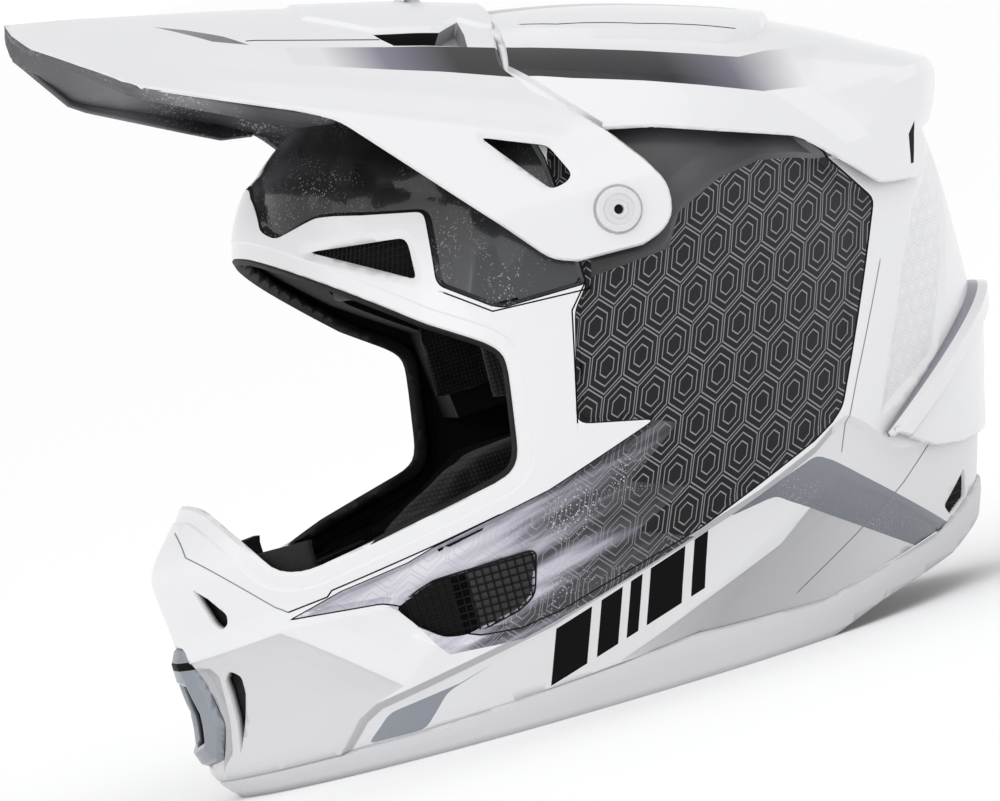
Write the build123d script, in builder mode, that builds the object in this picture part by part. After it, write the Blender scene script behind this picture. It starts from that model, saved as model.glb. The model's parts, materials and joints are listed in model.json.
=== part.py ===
"""Motocross helmet, built as separate shells, liners, vents, a tilting visor and a chin strap.

Frame: millimetres, +Z up, the helmet stands on its lower rim at Z = 0 and faces -Y. The wearer's
left is +X, and the helmet is symmetric about X = 0. The origin is the middle of its footprint.
"""

from build123d import *
from math import cos, pi, sin
import os

os.makedirs("parts", exist_ok=True)

# ---- driving dimensions -------------------------------------------------------------------
SHELL_WALL = 4.0  # moulded shell
FIT_GAP = 0.3  # clearance between pieces that only lie against each other
CROWN_START = 100  # above this height an inset also lowers the crown
CROWN_RISE = 156
Y_WIDEST = 15  # station of the helmet's greatest width
HALF_PROFILE = 14  # points on each side of a level curve
FAR = 400  # longer than the helmet, for cutters

PIVOT_Y = 20.0  # visor pivot
PIVOT_Z = 179.5
PIVOT_SEAT_X = 115.0  # flat on the shell around the pivot screw
ARM_OUTER_X = 122.4  # outer face of the visor arm at the pivot
ARM_FLAT_R = 9.0  # flat of the arm around the pivot
VISOR_SHEET = 3.2
SCREW_HEAD_D = 17.0
SCREW_HEAD_H = 2.8
SHANK_D = 5.9
SHANK_HOLE_D = 6.05
INSERT_D = 10.0
WASHER_D = 15.0

CHEEK_FACE_X = 68.0  # inner face of a cheek pad
STRAP_W = 22.0  # chin strap webbing
STRAP_T = 2.0
STRAP_X = 61.0  # middle of the hanging webbing
STRAP_Y = 16.0
STRAP_Z = 102.0  # where the hanging strap bends
STRAP_PAD_T = 4.2
RIVET_Z = 107.0
RIVET_D = 4.4
RIVET_HEAD_D = 8.0
RIVET_END_X = 119.1  # ends inside the shell wall
ROOT_X = 113.0  # outer end of the strap root, inside the shell wall
EYE_Z = 40.0  # loop that holds the D-rings
EYE_D = 12.4
EYE_BORE_D = 8.4
RING_WIRE = 3.2
RING_W = 34.0  # bar length between wire centres
RING_H = 21.0
RING_CORNER = 4.5
RING_OFFSET = 2.0  # each ring from the middle of the loop
FOLD_GAP = 4.0  # room between the right strap and its folded tail
FOLD_Z = 24.0
TAIL_END_Z = 58.0
SNAP_D = 13.0
SNAP_Z = 46.0

CENTER_Y = -12.0  # centre screw
CENTER_HEAD_Z = 276.0  # underside of its head
CENTER_HEAD_D = 13.0
CENTER_HEAD_H = 3.2
CENTER_SHANK_L = 32.0
CENTER_INSERT_Z = 250.0
CENTER_INSERT_L = 19.0
SCREW_DRIVE_R = 2.6  # hexagon recess
SCREW_END_X = 102.0

COVER_RISE = 4.5  # crown cover above the shell
REAR_COVER_RISE = 9.0
WING_HALF_W = 50.0
COMFORT_T = 11.0  # impact liner to the face of the comfort lining
IMPACT_INSERT_T = 3.0

# Level curves of the outer surface: height, front Y, rear Y, half width, roundness of the sides.
# A roundness of 2 is an ellipse and a smaller one is more pointed at the chin.
STATIONS = [
    (-2, -161, 122, 104, 1.6),
    (14, -173, 140, 109, 1.55),
    (34, -171, 149, 114, 1.5),
    (60, -171, 157, 118, 1.5),
    (88, -173, 163, 120.5, 1.5),
    (112, -156, 166, 121, 1.55),
    (150, -138, 167, 120, 1.7),
    (176, -121, 165, 117, 1.85),
    (196, -109, 154, 110.5, 1.95),
    (212, -102, 134, 101, 2.0),
    (226, -92, 109, 87, 2.0),
    (238, -77, 80, 70, 2.0),
    (248, -56, 48, 47, 2.0),
    (254, -34, 20, 22, 2.0),
    (256, -22, 8, 10, 2.0),
]
# Level curves of the head space inside the impact liner.
HEAD_STATIONS = [
    (16, -70, 106, 76, 2.0),
    (60, -76, 120, 80, 2.0),
    (130, -84, 130, 82, 2.0),
    (165, -80, 126, 79, 2.0),
    (190, -66, 108, 68, 2.0),
    (205, -48, 84, 52, 2.0),
    (213, -25, 55, 32, 2.0),
    (216, -5, 35, 15, 2.0),
]

# ---- outlines seen from the side, as (Y, Z) ------------------------------------------------
ABOVE_RIM = [(-230, 0), (58, 0), (82, 7), (120, 14), (147, 25), (230, 45), (230, 330), (-230, 330)]
TRIM_TOP = [(-230, 7), (-90, 10), (6, 17), (60, 14), (82, 18), (118, 24), (146, 36), (230, 56)]
EYE_PORT = [(-230, 117), (-151, 115), (-146, 104), (-136, 83), (-126, 80), (-90, 87), (-47, 95.5)]
EYE_PORT += [(-42, 101), (-38, 125), (-36, 138), (-40, 144), (-60, 158), (-106, 198), (-114, 203)]
EYE_PORT += [(-230, 203)]
MOUTH_COVER = [(-230, 16), (-150, 16), (-146, 24), (-147, 96), (-151, 100), (-230, 100)]
SIDE_VENT = [(-99, 58.3), (-83, 63), (-46, 64), (-53, 47.4), (-59, 45.2), (-77, 43.5), (-93, 49.5)]
BROW_VENT = [(-89, 196), (-57.4, 192), (-56.2, 189.5), (-57.8, 175.5)]
REAR_VENT = [(137, 43), (121.6, 32.2), (124.2, 27.6), (135, 32.2)]
MOUTH_INLET = (0, -170, 84)
FRONT_SLOT = [(-166, 47), (-160, 50), (-155, 44), (-163, 22), (-168, 22)]
CREST = [(15, 285), (9, 246), (24.3, 213.5), (99.5, 186.3), (108, 177.4), (141, 188), (150, 240)]
WING = [(92, 238), (114.6, 228.6), (129.4, 221.8), (176.2, 194.8), (178, 190.4), (166.7, 174)]
WING += [(150, 186), (118, 192), (92, 205)]
REAR_COVER = [(98.6, 68.8), (163.5, 109.4), (176, 101), (163, 71), (152, 54), (134, 54), (119, 57)]
LINER_SIDE = [(-230, 206), (-108, 206), (-62, 168), (-32, 148), (-28, 112), (60, 112), (76, 46)]
LINER_SIDE += [(230, 70), (230, 330), (-230, 330)]
CHIN_LINER = [(-146, 20), (-78, 14), (-76, 76), (-122, 72), (-140, 78)]
CHEEK = [(-70, 14), (-30, 12), (44, 19), (58, 30), (58, 98), (-26, 98), (-48, 86), (-70, 78)]
NECK = [(64, 16), (82, 20), (118, 27), (140, 35), (156, 44), (156, 56), (78, 42), (64, 40)]
VISOR_SIDE = [(-230, 330), (14.5, 330), (13, 262), (4, 246), (22, 213.5), (36, 195), (41.5, 183)]
VISOR_SIDE += [(40, 172), (34, 166.5), (25.5, 164), (0, 165), (-9.6, 168.5), (-69.8, 240)]
VISOR_SIDE += [(-84, 246), (-116, 261), (-141, 272), (-230, 315)]
ARM_HOLE = [(-20.6, 220), (3, 210), (7.9, 197.5), (5, 195), (-1.6, 194)]

# Visor cross-sections: Y, top Z, shoulder half width, shoulder Z.
VISOR_STATIONS = [
    (-172, 312, 84, 291),
    (-141, 305, 87, 276.6),
    (-84, 292, 103, 250),
    (-21, 276, 111, 223),
    (12, 265.5, 112.5, 210),
    (50, 254, 112.5, 206),
]
VISOR_PLAN = [(-4, -168), (4, -168), (48, -157), (89, -140), (140, -60), (140, 80), (-140, 80)]
VISOR_PLAN += [(-140, -60), (-89, -140), (-48, -157)]


# ---- shared shapes ------------------------------------------------------------------------
def level_curve(station, inset):
    """Points of one level curve, moved inwards by inset."""
    z, front, rear, half_width, roundness = station
    front, rear, half_width = front + inset, rear - inset, half_width - inset
    middle = min(max(Y_WIDEST - max(0, z - 210) * 0.5, front + 4), rear - 4)
    points = []
    for i in range(2 * HALF_PROFILE):
        angle = pi * i / HALF_PROFILE
        c, s = cos(angle), sin(angle)
        side = 1 if s >= 0 else -1
        if c >= 0:
            y = middle - (middle - front) * c ** (2 / 2.1)
            x = side * half_width * abs(s) ** (2 / roundness)
        else:
            y = middle + (rear - middle) * abs(c) ** (2 / 2.1)
            x = side * half_width * abs(s) ** (2 / 1.75)
        points.append((x, y))
    return points


def form(stations, inset):
    """Solid through the level curves, smaller all round by inset."""
    with BuildPart() as body:
        for station in stations:
            drop = inset * max(0, (station[0] - CROWN_START) / CROWN_RISE)
            with BuildSketch(Plane.XY.offset(station[0] - drop)):
                with BuildLine():
                    Spline(level_curve(station, inset), periodic=True)
                make_face()
        loft()
    return body.part


def helmet_form(inset):
    """The helmet's outer form, smaller all round by inset."""
    return form(STATIONS, inset)


def head_form(inset):
    """The head space, smaller all round by inset."""
    return form(HEAD_STATIONS, inset)


def prism(points, start=-FAR / 2, end=FAR / 2):
    """A side outline extruded across the helmet from X = start to X = end."""
    with BuildPart() as body:
        with BuildSketch(Plane.YZ.offset(start)):
            with BuildLine():
                Polyline(points, close=True)
            make_face()
        extrude(amount=end - start)
    return body.part


def grown_prism(points, growth):
    """A side outline grown by growth all round, extruded right across the helmet."""
    with BuildPart() as body:
        with BuildSketch(Plane.YZ.offset(-FAR / 2)):
            with BuildLine():
                Polyline(points, close=True)
            make_face()
            offset(amount=growth, kind=Kind.INTERSECTION)
        extrude(amount=FAR)
    return body.part


def cross_cylinder(diameter, y, z, start, end):
    """A cylinder along X."""
    with BuildPart() as body:
        with BuildSketch(Plane.YZ.offset(start)):
            with Locations((y, z)):
                Circle(diameter / 2)
        extrude(amount=end - start)
    return body.part


OUTER = helmet_form(0)
INNER = helmet_form(SHELL_WALL)
RIM_KEEP = prism(ABOVE_RIM)
BELOW_TRIM = prism(TRIM_TOP + [(230, -60), (-230, -60)])
PORT = prism(EYE_PORT)
PORT_GROWN = grown_prism(EYE_PORT, 3.0)
PIVOT_SEATS = [
    cross_cylinder(20, PIVOT_Y, PIVOT_Z, PIVOT_SEAT_X, 140),
    cross_cylinder(20, PIVOT_Y, PIVOT_Z, -140, -PIVOT_SEAT_X),
]


def save(part, name):
    """Label a finished piece and write its file."""
    part.part.label = name
    export_step(part.part, f"parts/{name}.step")


# ---- shell, edge trims and vents ----------------------------------------------------------
def make_outer_shell():
    """Moulded outer shell with its eye port, vents and screw holes."""
    with BuildPart() as outer_shell:
        add(OUTER)
        add(INNER, mode=Mode.SUBTRACT)
        add(BELOW_TRIM, mode=Mode.SUBTRACT)
        add(PORT_GROWN, mode=Mode.SUBTRACT)
        add(grown_prism(MOUTH_COVER, FIT_GAP), mode=Mode.SUBTRACT)
        for vent in (SIDE_VENT, BROW_VENT, REAR_VENT):
            add(prism(vent), mode=Mode.SUBTRACT)
        for seat in PIVOT_SEATS:
            add(seat, mode=Mode.SUBTRACT)
        add(cross_cylinder(INSERT_D, PIVOT_Y, PIVOT_Z, -FAR / 2, FAR / 2), mode=Mode.SUBTRACT)
        rivet_reach = RIVET_END_X + 0.1
        add(cross_cylinder(6, STRAP_Y, RIVET_Z, -rivet_reach, rivet_reach), mode=Mode.SUBTRACT)
        with Locations((0, CENTER_Y, CENTER_INSERT_Z)):
            Cylinder(radius=INSERT_D / 2, height=30, mode=Mode.SUBTRACT)
    save(outer_shell, "outer_shell")


def make_trims():
    """Rubber edge along the lower rim and around the eye port."""
    with BuildPart() as base_trim:
        add(OUTER)
        add(INNER, mode=Mode.SUBTRACT)
        add(RIM_KEEP, mode=Mode.INTERSECT)
        add(BELOW_TRIM, mode=Mode.INTERSECT)
    save(base_trim, "base_trim")
    with BuildPart() as eyeport_trim:
        add(OUTER)
        add(INNER, mode=Mode.SUBTRACT)
        add(PORT_GROWN, mode=Mode.INTERSECT)
        add(PORT, mode=Mode.SUBTRACT)
    save(eyeport_trim, "eyeport_trim")


def make_mouthpiece():
    """Front chin cover with two upright slots, and the foam filter behind it."""
    with BuildPart() as mouthpiece:
        add(OUTER)
        add(INNER, mode=Mode.SUBTRACT)
        add(prism(MOUTH_COVER), mode=Mode.INTERSECT)
        add(prism(FRONT_SLOT), mode=Mode.SUBTRACT)
        with Locations(MOUTH_INLET):
            Box(60, 60, 8, mode=Mode.SUBTRACT)
    save(mouthpiece, "mouthpiece")
    with BuildPart() as mouthpiece_filter:
        add(helmet_form(SHELL_WALL + FIT_GAP))
        add(helmet_form(SHELL_WALL + 2.3), mode=Mode.SUBTRACT)
        add(prism([(-230, 20), (-153, 20), (-153, 94), (-230, 94)]), mode=Mode.INTERSECT)
    save(mouthpiece_filter, "mouthpiece_filter")


def make_vent_mesh(name, outline, side, slots):
    """One slotted grille set in a vent of the shell, on the left (1) or the right (-1)."""
    low = min(z for _, z in outline)
    high = max(z for _, z in outline)
    near = min(y for y, _ in outline)
    far = max(y for y, _ in outline)
    pitch = (far - near) / (slots + 1)
    with BuildPart() as vent_mesh:
        add(helmet_form(1.6))
        add(helmet_form(3.4), mode=Mode.SUBTRACT)
        add(prism(outline, min(0, side * FAR / 2), max(0, side * FAR / 2)), mode=Mode.INTERSECT)
        with BuildSketch(Plane.YZ.offset(-FAR / 2)):
            with Locations([(near + pitch * (i + 1), (low + high) / 2) for i in range(slots)]):
                Rectangle(pitch * 0.4, (high - low) * 0.42)
        extrude(amount=FAR, mode=Mode.SUBTRACT)
    save(vent_mesh, name)


def make_covers():
    """Crown cover that runs back into a wing, and the rear cover below it."""
    with BuildPart() as top_cover:
        add(helmet_form(-COVER_RISE))
        add(prism(CREST), mode=Mode.INTERSECT)
        add(prism(WING, -WING_HALF_W, WING_HALF_W))
        add(helmet_form(-FIT_GAP), mode=Mode.SUBTRACT)
    save(top_cover, "top_cover")
    with BuildPart() as rear_cover:
        add(helmet_form(-REAR_COVER_RISE))
        add(helmet_form(-FIT_GAP), mode=Mode.SUBTRACT)
        add(prism(REAR_COVER), mode=Mode.INTERSECT)
    save(rear_cover, "rear_cover")


# ---- liners and pads ----------------------------------------------------------------------
def make_liners():
    """Expanded foam impact liner, its chin piece and the energy-absorbing inserts."""
    with BuildPart() as impact_liner:
        add(helmet_form(SHELL_WALL + FIT_GAP))
        add(head_form(0), mode=Mode.SUBTRACT)
        add(prism(LINER_SIDE), mode=Mode.INTERSECT)
        add(cross_cylinder(14, PIVOT_Y, PIVOT_Z, -FAR / 2, -98), mode=Mode.SUBTRACT)
        add(cross_cylinder(14, PIVOT_Y, PIVOT_Z, 98, FAR / 2), mode=Mode.SUBTRACT)
        with Locations((0, CENTER_Y, CENTER_INSERT_Z - 4)):
            Cylinder(radius=8, height=16, mode=Mode.SUBTRACT)
    save(impact_liner, "impact_liner")
    with BuildPart() as chin_liner:
        add(helmet_form(SHELL_WALL + FIT_GAP))
        add(helmet_form(SHELL_WALL + 15), mode=Mode.SUBTRACT)
        add(prism(CHIN_LINER), mode=Mode.INTERSECT)
    save(chin_liner, "chin_liner")
    with BuildPart() as impact_inserts:
        add(head_form(FIT_GAP))
        add(head_form(IMPACT_INSERT_T), mode=Mode.SUBTRACT)
        with BuildSketch(Plane.XY.offset(150)):
            with Locations((0, 28), (-34, -6), (34, -6), (-36, 58), (36, 58)):
                RegularPolygon(radius=19, side_count=6)
        extrude(amount=80, mode=Mode.INTERSECT)
    save(impact_inserts, "impact_inserts")


def make_comfort_pads():
    """Crown pad, brow pad and neck roll of the washable lining."""
    with BuildPart() as crown_pad:
        add(head_form(IMPACT_INSERT_T + FIT_GAP))
        add(head_form(COMFORT_T), mode=Mode.SUBTRACT)
        add(prism([(-38, 118), (150, 118), (150, 240), (-38, 240)]), mode=Mode.INTERSECT)
    save(crown_pad, "crown_pad")
    with BuildPart() as brow_pad:
        add(head_form(FIT_GAP))
        add(head_form(COMFORT_T), mode=Mode.SUBTRACT)
        add(prism([(-110, 182), (-38.5, 160), (-38.5, 232), (-110, 232)]), mode=Mode.INTERSECT)
    save(brow_pad, "brow_pad")
    with BuildPart() as neck_roll:
        add(helmet_form(SHELL_WALL + FIT_GAP))
        add(helmet_form(SHELL_WALL + 22), mode=Mode.SUBTRACT)
        add(prism(NECK), mode=Mode.INTERSECT)
    save(neck_roll, "neck_roll")


def make_cheek_pad(name, side):
    """Cheek pad and the plastic plate that clips it into the shell."""
    near, far = sorted((side * CHEEK_FACE_X, side * FAR / 2))
    with BuildPart() as cheek_plate:
        add(helmet_form(SHELL_WALL + FIT_GAP))
        add(helmet_form(SHELL_WALL + 2), mode=Mode.SUBTRACT)
        add(prism(CHEEK, near, far), mode=Mode.INTERSECT)
    save(cheek_plate, f"cheek_plate_{name}")
    with BuildPart() as cheek_pad:
        add(helmet_form(SHELL_WALL + 2 + FIT_GAP))
        add(prism(CHEEK, near, far), mode=Mode.INTERSECT)
    save(cheek_pad, f"cheek_pad_{name}")


# ---- visor --------------------------------------------------------------------------------
def visor_arch(inset):
    """Solid under the visor's outer surface, moved in by inset."""
    with BuildPart() as arch:
        for y, top, half_width, shoulder in VISOR_STATIONS:
            top, half_width, shoulder = top - inset, half_width - inset, shoulder - inset * 0.6
            with BuildSketch(Plane.XZ.offset(-y)):
                with BuildLine():
                    crown = [
                        (half_width, shoulder),
                        (half_width * 0.66, shoulder + (top - shoulder) * 0.66),
                        (0, top),
                        (-half_width * 0.66, shoulder + (top - shoulder) * 0.66),
                        (-half_width, shoulder),
                    ]
                    Spline(crown)
                    Polyline(
                        (-half_width, shoulder),
                        (-(ARM_OUTER_X - inset), PIVOT_Z + ARM_FLAT_R),
                        (-(ARM_OUTER_X - inset), 140),
                        (ARM_OUTER_X - inset, 140),
                        (ARM_OUTER_X - inset, PIVOT_Z + ARM_FLAT_R),
                        (half_width, shoulder),
                    )
                make_face()
        loft()
    return arch.part


def make_visor():
    """Visor peak with its two side arms."""
    with BuildPart() as visor:
        add(visor_arch(0))
        add(visor_arch(VISOR_SHEET), mode=Mode.SUBTRACT)
        add(prism(VISOR_SIDE), mode=Mode.INTERSECT)
        with BuildSketch(Plane.XY.offset(100)):
            with BuildLine():
                Polyline(VISOR_PLAN, close=True)
            make_face()
        extrude(amount=260, mode=Mode.INTERSECT)
        add(prism(ARM_HOLE), mode=Mode.SUBTRACT)
        add(cross_cylinder(SHANK_HOLE_D, PIVOT_Y, PIVOT_Z, -FAR / 2, FAR / 2), mode=Mode.SUBTRACT)
        with BuildSketch(Plane.XY.offset(240)):
            with Locations((0, -6)):
                SlotOverall(20, 6.4, rotation=90)
        extrude(amount=60, mode=Mode.SUBTRACT)
    save(visor, "visor")


def make_pivot_hardware(name, side):
    """Pivot screw, rubber washer and threaded insert on one side."""
    washer_start = PIVOT_SEAT_X + 0.05
    washer_end = ARM_OUTER_X - VISOR_SHEET - FIT_GAP
    with BuildPart() as visor_screw:
        with BuildSketch(Plane.YZ.offset(ARM_OUTER_X + 0.05)):
            with Locations((PIVOT_Y, PIVOT_Z)):
                Circle(SCREW_HEAD_D / 2)
        extrude(amount=SCREW_HEAD_H)
        fillet(visor_screw.faces().sort_by(Axis.X)[-1].edges(), radius=0.8)
        with BuildSketch(Plane.YZ.offset(SCREW_END_X)):
            with Locations((PIVOT_Y, PIVOT_Z)):
                Circle(SHANK_D / 2)
        extrude(amount=ARM_OUTER_X + 1 - SCREW_END_X)
        with BuildSketch(Plane.YZ.offset(ARM_OUTER_X + 1.2)):
            with Locations((PIVOT_Y, PIVOT_Z)):
                RegularPolygon(radius=SCREW_DRIVE_R, side_count=6)
        extrude(amount=5, mode=Mode.SUBTRACT)
        if side < 0:
            mirror(about=Plane.YZ, mode=Mode.REPLACE)
    save(visor_screw, f"visor_screw_{name}")
    with BuildPart() as visor_washer:
        add(cross_cylinder(WASHER_D, PIVOT_Y, PIVOT_Z, washer_start, washer_end))
        add(cross_cylinder(6.3, PIVOT_Y, PIVOT_Z, 100, 140), mode=Mode.SUBTRACT)
        if side < 0:
            mirror(about=Plane.YZ, mode=Mode.REPLACE)
    save(visor_washer, f"visor_washer_{name}")
    with BuildPart() as visor_insert:
        add(cross_cylinder(INSERT_D - 0.1, PIVOT_Y, PIVOT_Z, 105, PIVOT_SEAT_X - 0.05))
        add(cross_cylinder(SHANK_HOLE_D, PIVOT_Y, PIVOT_Z, 100, 140), mode=Mode.SUBTRACT)
        if side < 0:
            mirror(about=Plane.YZ, mode=Mode.REPLACE)
    save(visor_insert, f"visor_insert_{name}")


def make_center_hardware():
    """Centre screw under the visor's air channel, and its insert in the shell."""
    with BuildPart() as visor_screw_center:
        with Locations((0, CENTER_Y, CENTER_HEAD_Z - CENTER_SHANK_L / 2)):
            Cylinder(radius=SHANK_D / 2, height=CENTER_SHANK_L)
        with Locations((0, CENTER_Y, CENTER_HEAD_Z + CENTER_HEAD_H / 2)):
            Cylinder(radius=CENTER_HEAD_D / 2, height=CENTER_HEAD_H)
        with BuildSketch(Plane.XY.offset(CENTER_HEAD_Z + 1)):
            with Locations((0, CENTER_Y)):
                RegularPolygon(radius=SCREW_DRIVE_R, side_count=6)
        extrude(amount=CENTER_HEAD_H, mode=Mode.SUBTRACT)
    save(visor_screw_center, "visor_screw_center")
    with BuildPart() as visor_insert_center:
        with Locations((0, CENTER_Y, CENTER_INSERT_Z)):
            Cylinder(radius=(INSERT_D - 0.1) / 2, height=CENTER_INSERT_L)
            Cylinder(radius=SHANK_HOLE_D / 2, height=CENTER_INSERT_L, mode=Mode.SUBTRACT)
    save(visor_insert_center, "visor_insert_center")


# ---- chin strap ---------------------------------------------------------------------------
def strap_slab(x_start, x_end, width, low, high):
    """A flat length of webbing or padding, centred on the strap's Y."""
    with BuildPart() as slab:
        with Locations(((x_start + x_end) / 2, STRAP_Y, (low + high) / 2)):
            Box(abs(x_end - x_start), width, high - low)
    return slab.part


def make_strap_anchor(name, side):
    """Strap root over the cheek pad, and the rivet that fastens it to the shell."""
    with BuildPart() as strap_root:
        root_start = STRAP_X + STRAP_T / 2 + 0.4
        add(strap_slab(root_start, ROOT_X, STRAP_W, STRAP_Z - 1.5, STRAP_Z + 0.5))
        add(strap_slab(ROOT_X - STRAP_T, ROOT_X, STRAP_W, STRAP_Z - 1.5, RIVET_Z + 4.5))
        add(cross_cylinder(RIVET_D + 0.2, STRAP_Y, RIVET_Z, 105, 120), mode=Mode.SUBTRACT)
        if side < 0:
            mirror(about=Plane.YZ, mode=Mode.REPLACE)
    save(strap_root, f"strap_root_{name}")
    with BuildPart() as strap_rivet:
        head_end = ROOT_X - STRAP_T - 0.05
        add(cross_cylinder(RIVET_D, STRAP_Y, RIVET_Z, head_end - 1, RIVET_END_X))
        add(cross_cylinder(RIVET_HEAD_D, STRAP_Y, RIVET_Z, head_end - 2, head_end))
        if side < 0:
            mirror(about=Plane.YZ, mode=Mode.REPLACE)
    save(strap_rivet, f"strap_rivet_{name}")


def make_ring_strap():
    """Left strap, which ends in the loop that carries the D-rings, and its neck pad."""
    with BuildPart() as strap_left:
        add(strap_slab(STRAP_X - STRAP_T / 2, STRAP_X + STRAP_T / 2, STRAP_W, EYE_Z + 5, STRAP_Z))
        for diameter, mode in ((EYE_D, Mode.ADD), (EYE_BORE_D, Mode.SUBTRACT)):
            with BuildSketch(Plane.XZ.offset(-STRAP_Y - STRAP_W / 2)):
                with Locations((STRAP_X, EYE_Z)):
                    Circle(diameter / 2)
            extrude(amount=STRAP_W, mode=mode)
    save(strap_left, "strap_left")
    with BuildPart() as strap_pad_left:
        pad_x = STRAP_X - STRAP_T / 2 - FIT_GAP
        add(strap_slab(pad_x - STRAP_PAD_T, pad_x, STRAP_W + 8, EYE_Z + 10, STRAP_Z - 4))
        fillet(strap_pad_left.edges().filter_by(Axis.X), radius=4)
    save(strap_pad_left, "strap_pad_left")


def make_ring(name, offset_x):
    """One welded D-ring, its straight bar held in the strap's loop."""
    bar_x = STRAP_X + offset_x
    near, far = STRAP_Y - RING_W / 2, STRAP_Y + RING_W / 2
    corners = [(near, EYE_Z), (far, EYE_Z), (far, EYE_Z - RING_H), (near, EYE_Z - RING_H)]
    with BuildPart() as ring:
        with BuildLine(Plane.YZ.offset(bar_x)) as path:
            FilletPolyline(*corners, radius=RING_CORNER, close=True)
        start = path.wires()[0] @ 0
        tangent = path.wires()[0] % 0
        with BuildSketch(Plane(origin=start, z_dir=tangent)):
            Circle(RING_WIRE / 2)
        sweep(path=path.wires()[0])
    save(ring, name)


def make_tail_strap():
    """Right strap, folded back on itself for storage, with its pad and snap."""
    outer = -STRAP_X - STRAP_T / 2
    inner = outer + STRAP_T
    tail_outer = inner + FOLD_GAP + 2
    tail_inner = tail_outer + STRAP_T
    with BuildPart() as strap_right:
        with BuildSketch(Plane.XZ.offset(-STRAP_Y - STRAP_W / 2)):
            with BuildLine():
                Polyline((inner, STRAP_Z), (outer, STRAP_Z), (outer, FOLD_Z))
                RadiusArc((outer, FOLD_Z), (tail_inner, FOLD_Z), -(tail_inner - outer) / 2)
                Line((tail_inner, FOLD_Z), (tail_inner, TAIL_END_Z))
                Line((tail_inner, TAIL_END_Z), (tail_outer, TAIL_END_Z))
                Line((tail_outer, TAIL_END_Z), (tail_outer, FOLD_Z))
                RadiusArc((tail_outer, FOLD_Z), (inner, FOLD_Z), (tail_outer - inner) / 2)
                Line((inner, FOLD_Z), (inner, STRAP_Z))
            make_face()
        extrude(amount=STRAP_W)
    save(strap_right, "strap_right")
    with BuildPart() as strap_pad_right:
        pad_x = inner + FIT_GAP
        add(strap_slab(pad_x, pad_x + STRAP_PAD_T, STRAP_W + 8, TAIL_END_Z + 4, STRAP_Z - 4))
        fillet(strap_pad_right.edges().filter_by(Axis.X), radius=4)
    save(strap_pad_right, "strap_pad_right")
    with BuildPart() as strap_snap:
        add(cross_cylinder(SNAP_D, STRAP_Y, SNAP_Z, tail_inner + 0.05, tail_inner + 2.6))
        fillet(strap_snap.faces().sort_by(Axis.X)[-1].edges(), radius=1)
    save(strap_snap, "strap_snap")


make_outer_shell()
make_trims()
make_mouthpiece()
for side_name, side_sign in (("left", 1), ("right", -1)):
    make_vent_mesh(f"side_vent_mesh_{side_name}", SIDE_VENT, side_sign, 8)
    make_vent_mesh(f"brow_vent_mesh_{side_name}", BROW_VENT, side_sign, 3)
    make_vent_mesh(f"rear_vent_mesh_{side_name}", REAR_VENT, side_sign, 2)
    make_cheek_pad(side_name, side_sign)
    make_pivot_hardware(side_name, side_sign)
    make_strap_anchor(side_name, side_sign)
make_covers()
make_liners()
make_comfort_pads()
make_visor()
make_center_hardware()
make_ring_strap()
make_ring("d_ring_inner", -RING_OFFSET)
make_ring("d_ring_outer", RING_OFFSET)
make_tail_strap()
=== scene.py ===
"""Motocross helmet: painted shell, vented chin, tilting visor, lining and chin strap.

Lengths in the classes are millimetres; every mesh is scaled to metres when it is finished. The
helmet stands on its rim at Z = 0, faces -Y, and both sides mirror each other about X = 0.
"""

from __future__ import annotations

import json
import logging
import math
from dataclasses import dataclass
from enum import Enum
from typing import Callable, Iterable, Sequence

import bmesh
import bpy
import numpy as np
from mathutils import Matrix, Vector

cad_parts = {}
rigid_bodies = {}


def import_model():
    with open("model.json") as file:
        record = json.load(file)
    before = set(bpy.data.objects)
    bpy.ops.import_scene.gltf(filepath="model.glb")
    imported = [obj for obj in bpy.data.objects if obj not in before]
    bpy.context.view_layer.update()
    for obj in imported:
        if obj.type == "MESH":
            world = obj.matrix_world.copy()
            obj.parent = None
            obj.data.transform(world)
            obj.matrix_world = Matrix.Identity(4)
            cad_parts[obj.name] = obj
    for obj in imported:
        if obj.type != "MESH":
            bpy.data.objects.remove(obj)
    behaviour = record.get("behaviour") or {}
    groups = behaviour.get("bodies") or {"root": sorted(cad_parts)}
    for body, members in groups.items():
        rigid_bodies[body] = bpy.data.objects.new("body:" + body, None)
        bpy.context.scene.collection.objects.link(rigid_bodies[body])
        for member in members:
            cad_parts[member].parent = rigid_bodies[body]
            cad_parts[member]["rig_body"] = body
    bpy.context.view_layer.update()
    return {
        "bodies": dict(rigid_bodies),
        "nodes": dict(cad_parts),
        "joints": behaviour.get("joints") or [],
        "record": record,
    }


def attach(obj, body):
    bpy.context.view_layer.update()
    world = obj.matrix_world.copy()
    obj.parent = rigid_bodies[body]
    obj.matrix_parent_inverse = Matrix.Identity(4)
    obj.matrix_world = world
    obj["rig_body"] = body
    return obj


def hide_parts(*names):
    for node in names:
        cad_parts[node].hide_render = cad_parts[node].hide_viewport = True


logging.basicConfig(level=logging.INFO, format="%(message)s")
LOG = logging.getLogger("helmet")
Point = tuple[float, float]
Points = tuple[Point, ...]

MM = 0.001

ROOT3 = math.sqrt(3.0)
TINY = 1e-9
FAR = 1e9
# End of a paint that has no end, and distance from an outline that can't be reached.
UNBOUNDED = 1e6
# Waves per metre of the cloudiness in a surface, and of the patches in which metal flake gathers.
CLOUD_PER_M = 28.0
PATCH_PER_M = 45.0
# Waves per metre of a smear dragged through a graded blend, along it and across it.
SMEAR_ALONG = (0.0, 13.0, 3.0)
SMEAR_ACROSS = (0.0, -30.0, 130.0)
# Scale at which a wave texture draws one band to the unit.
ONE_BAND = 0.314
# Whole cells that keep a repeated pattern's coordinates above zero.
CELLS_AWAY = 200.0
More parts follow.
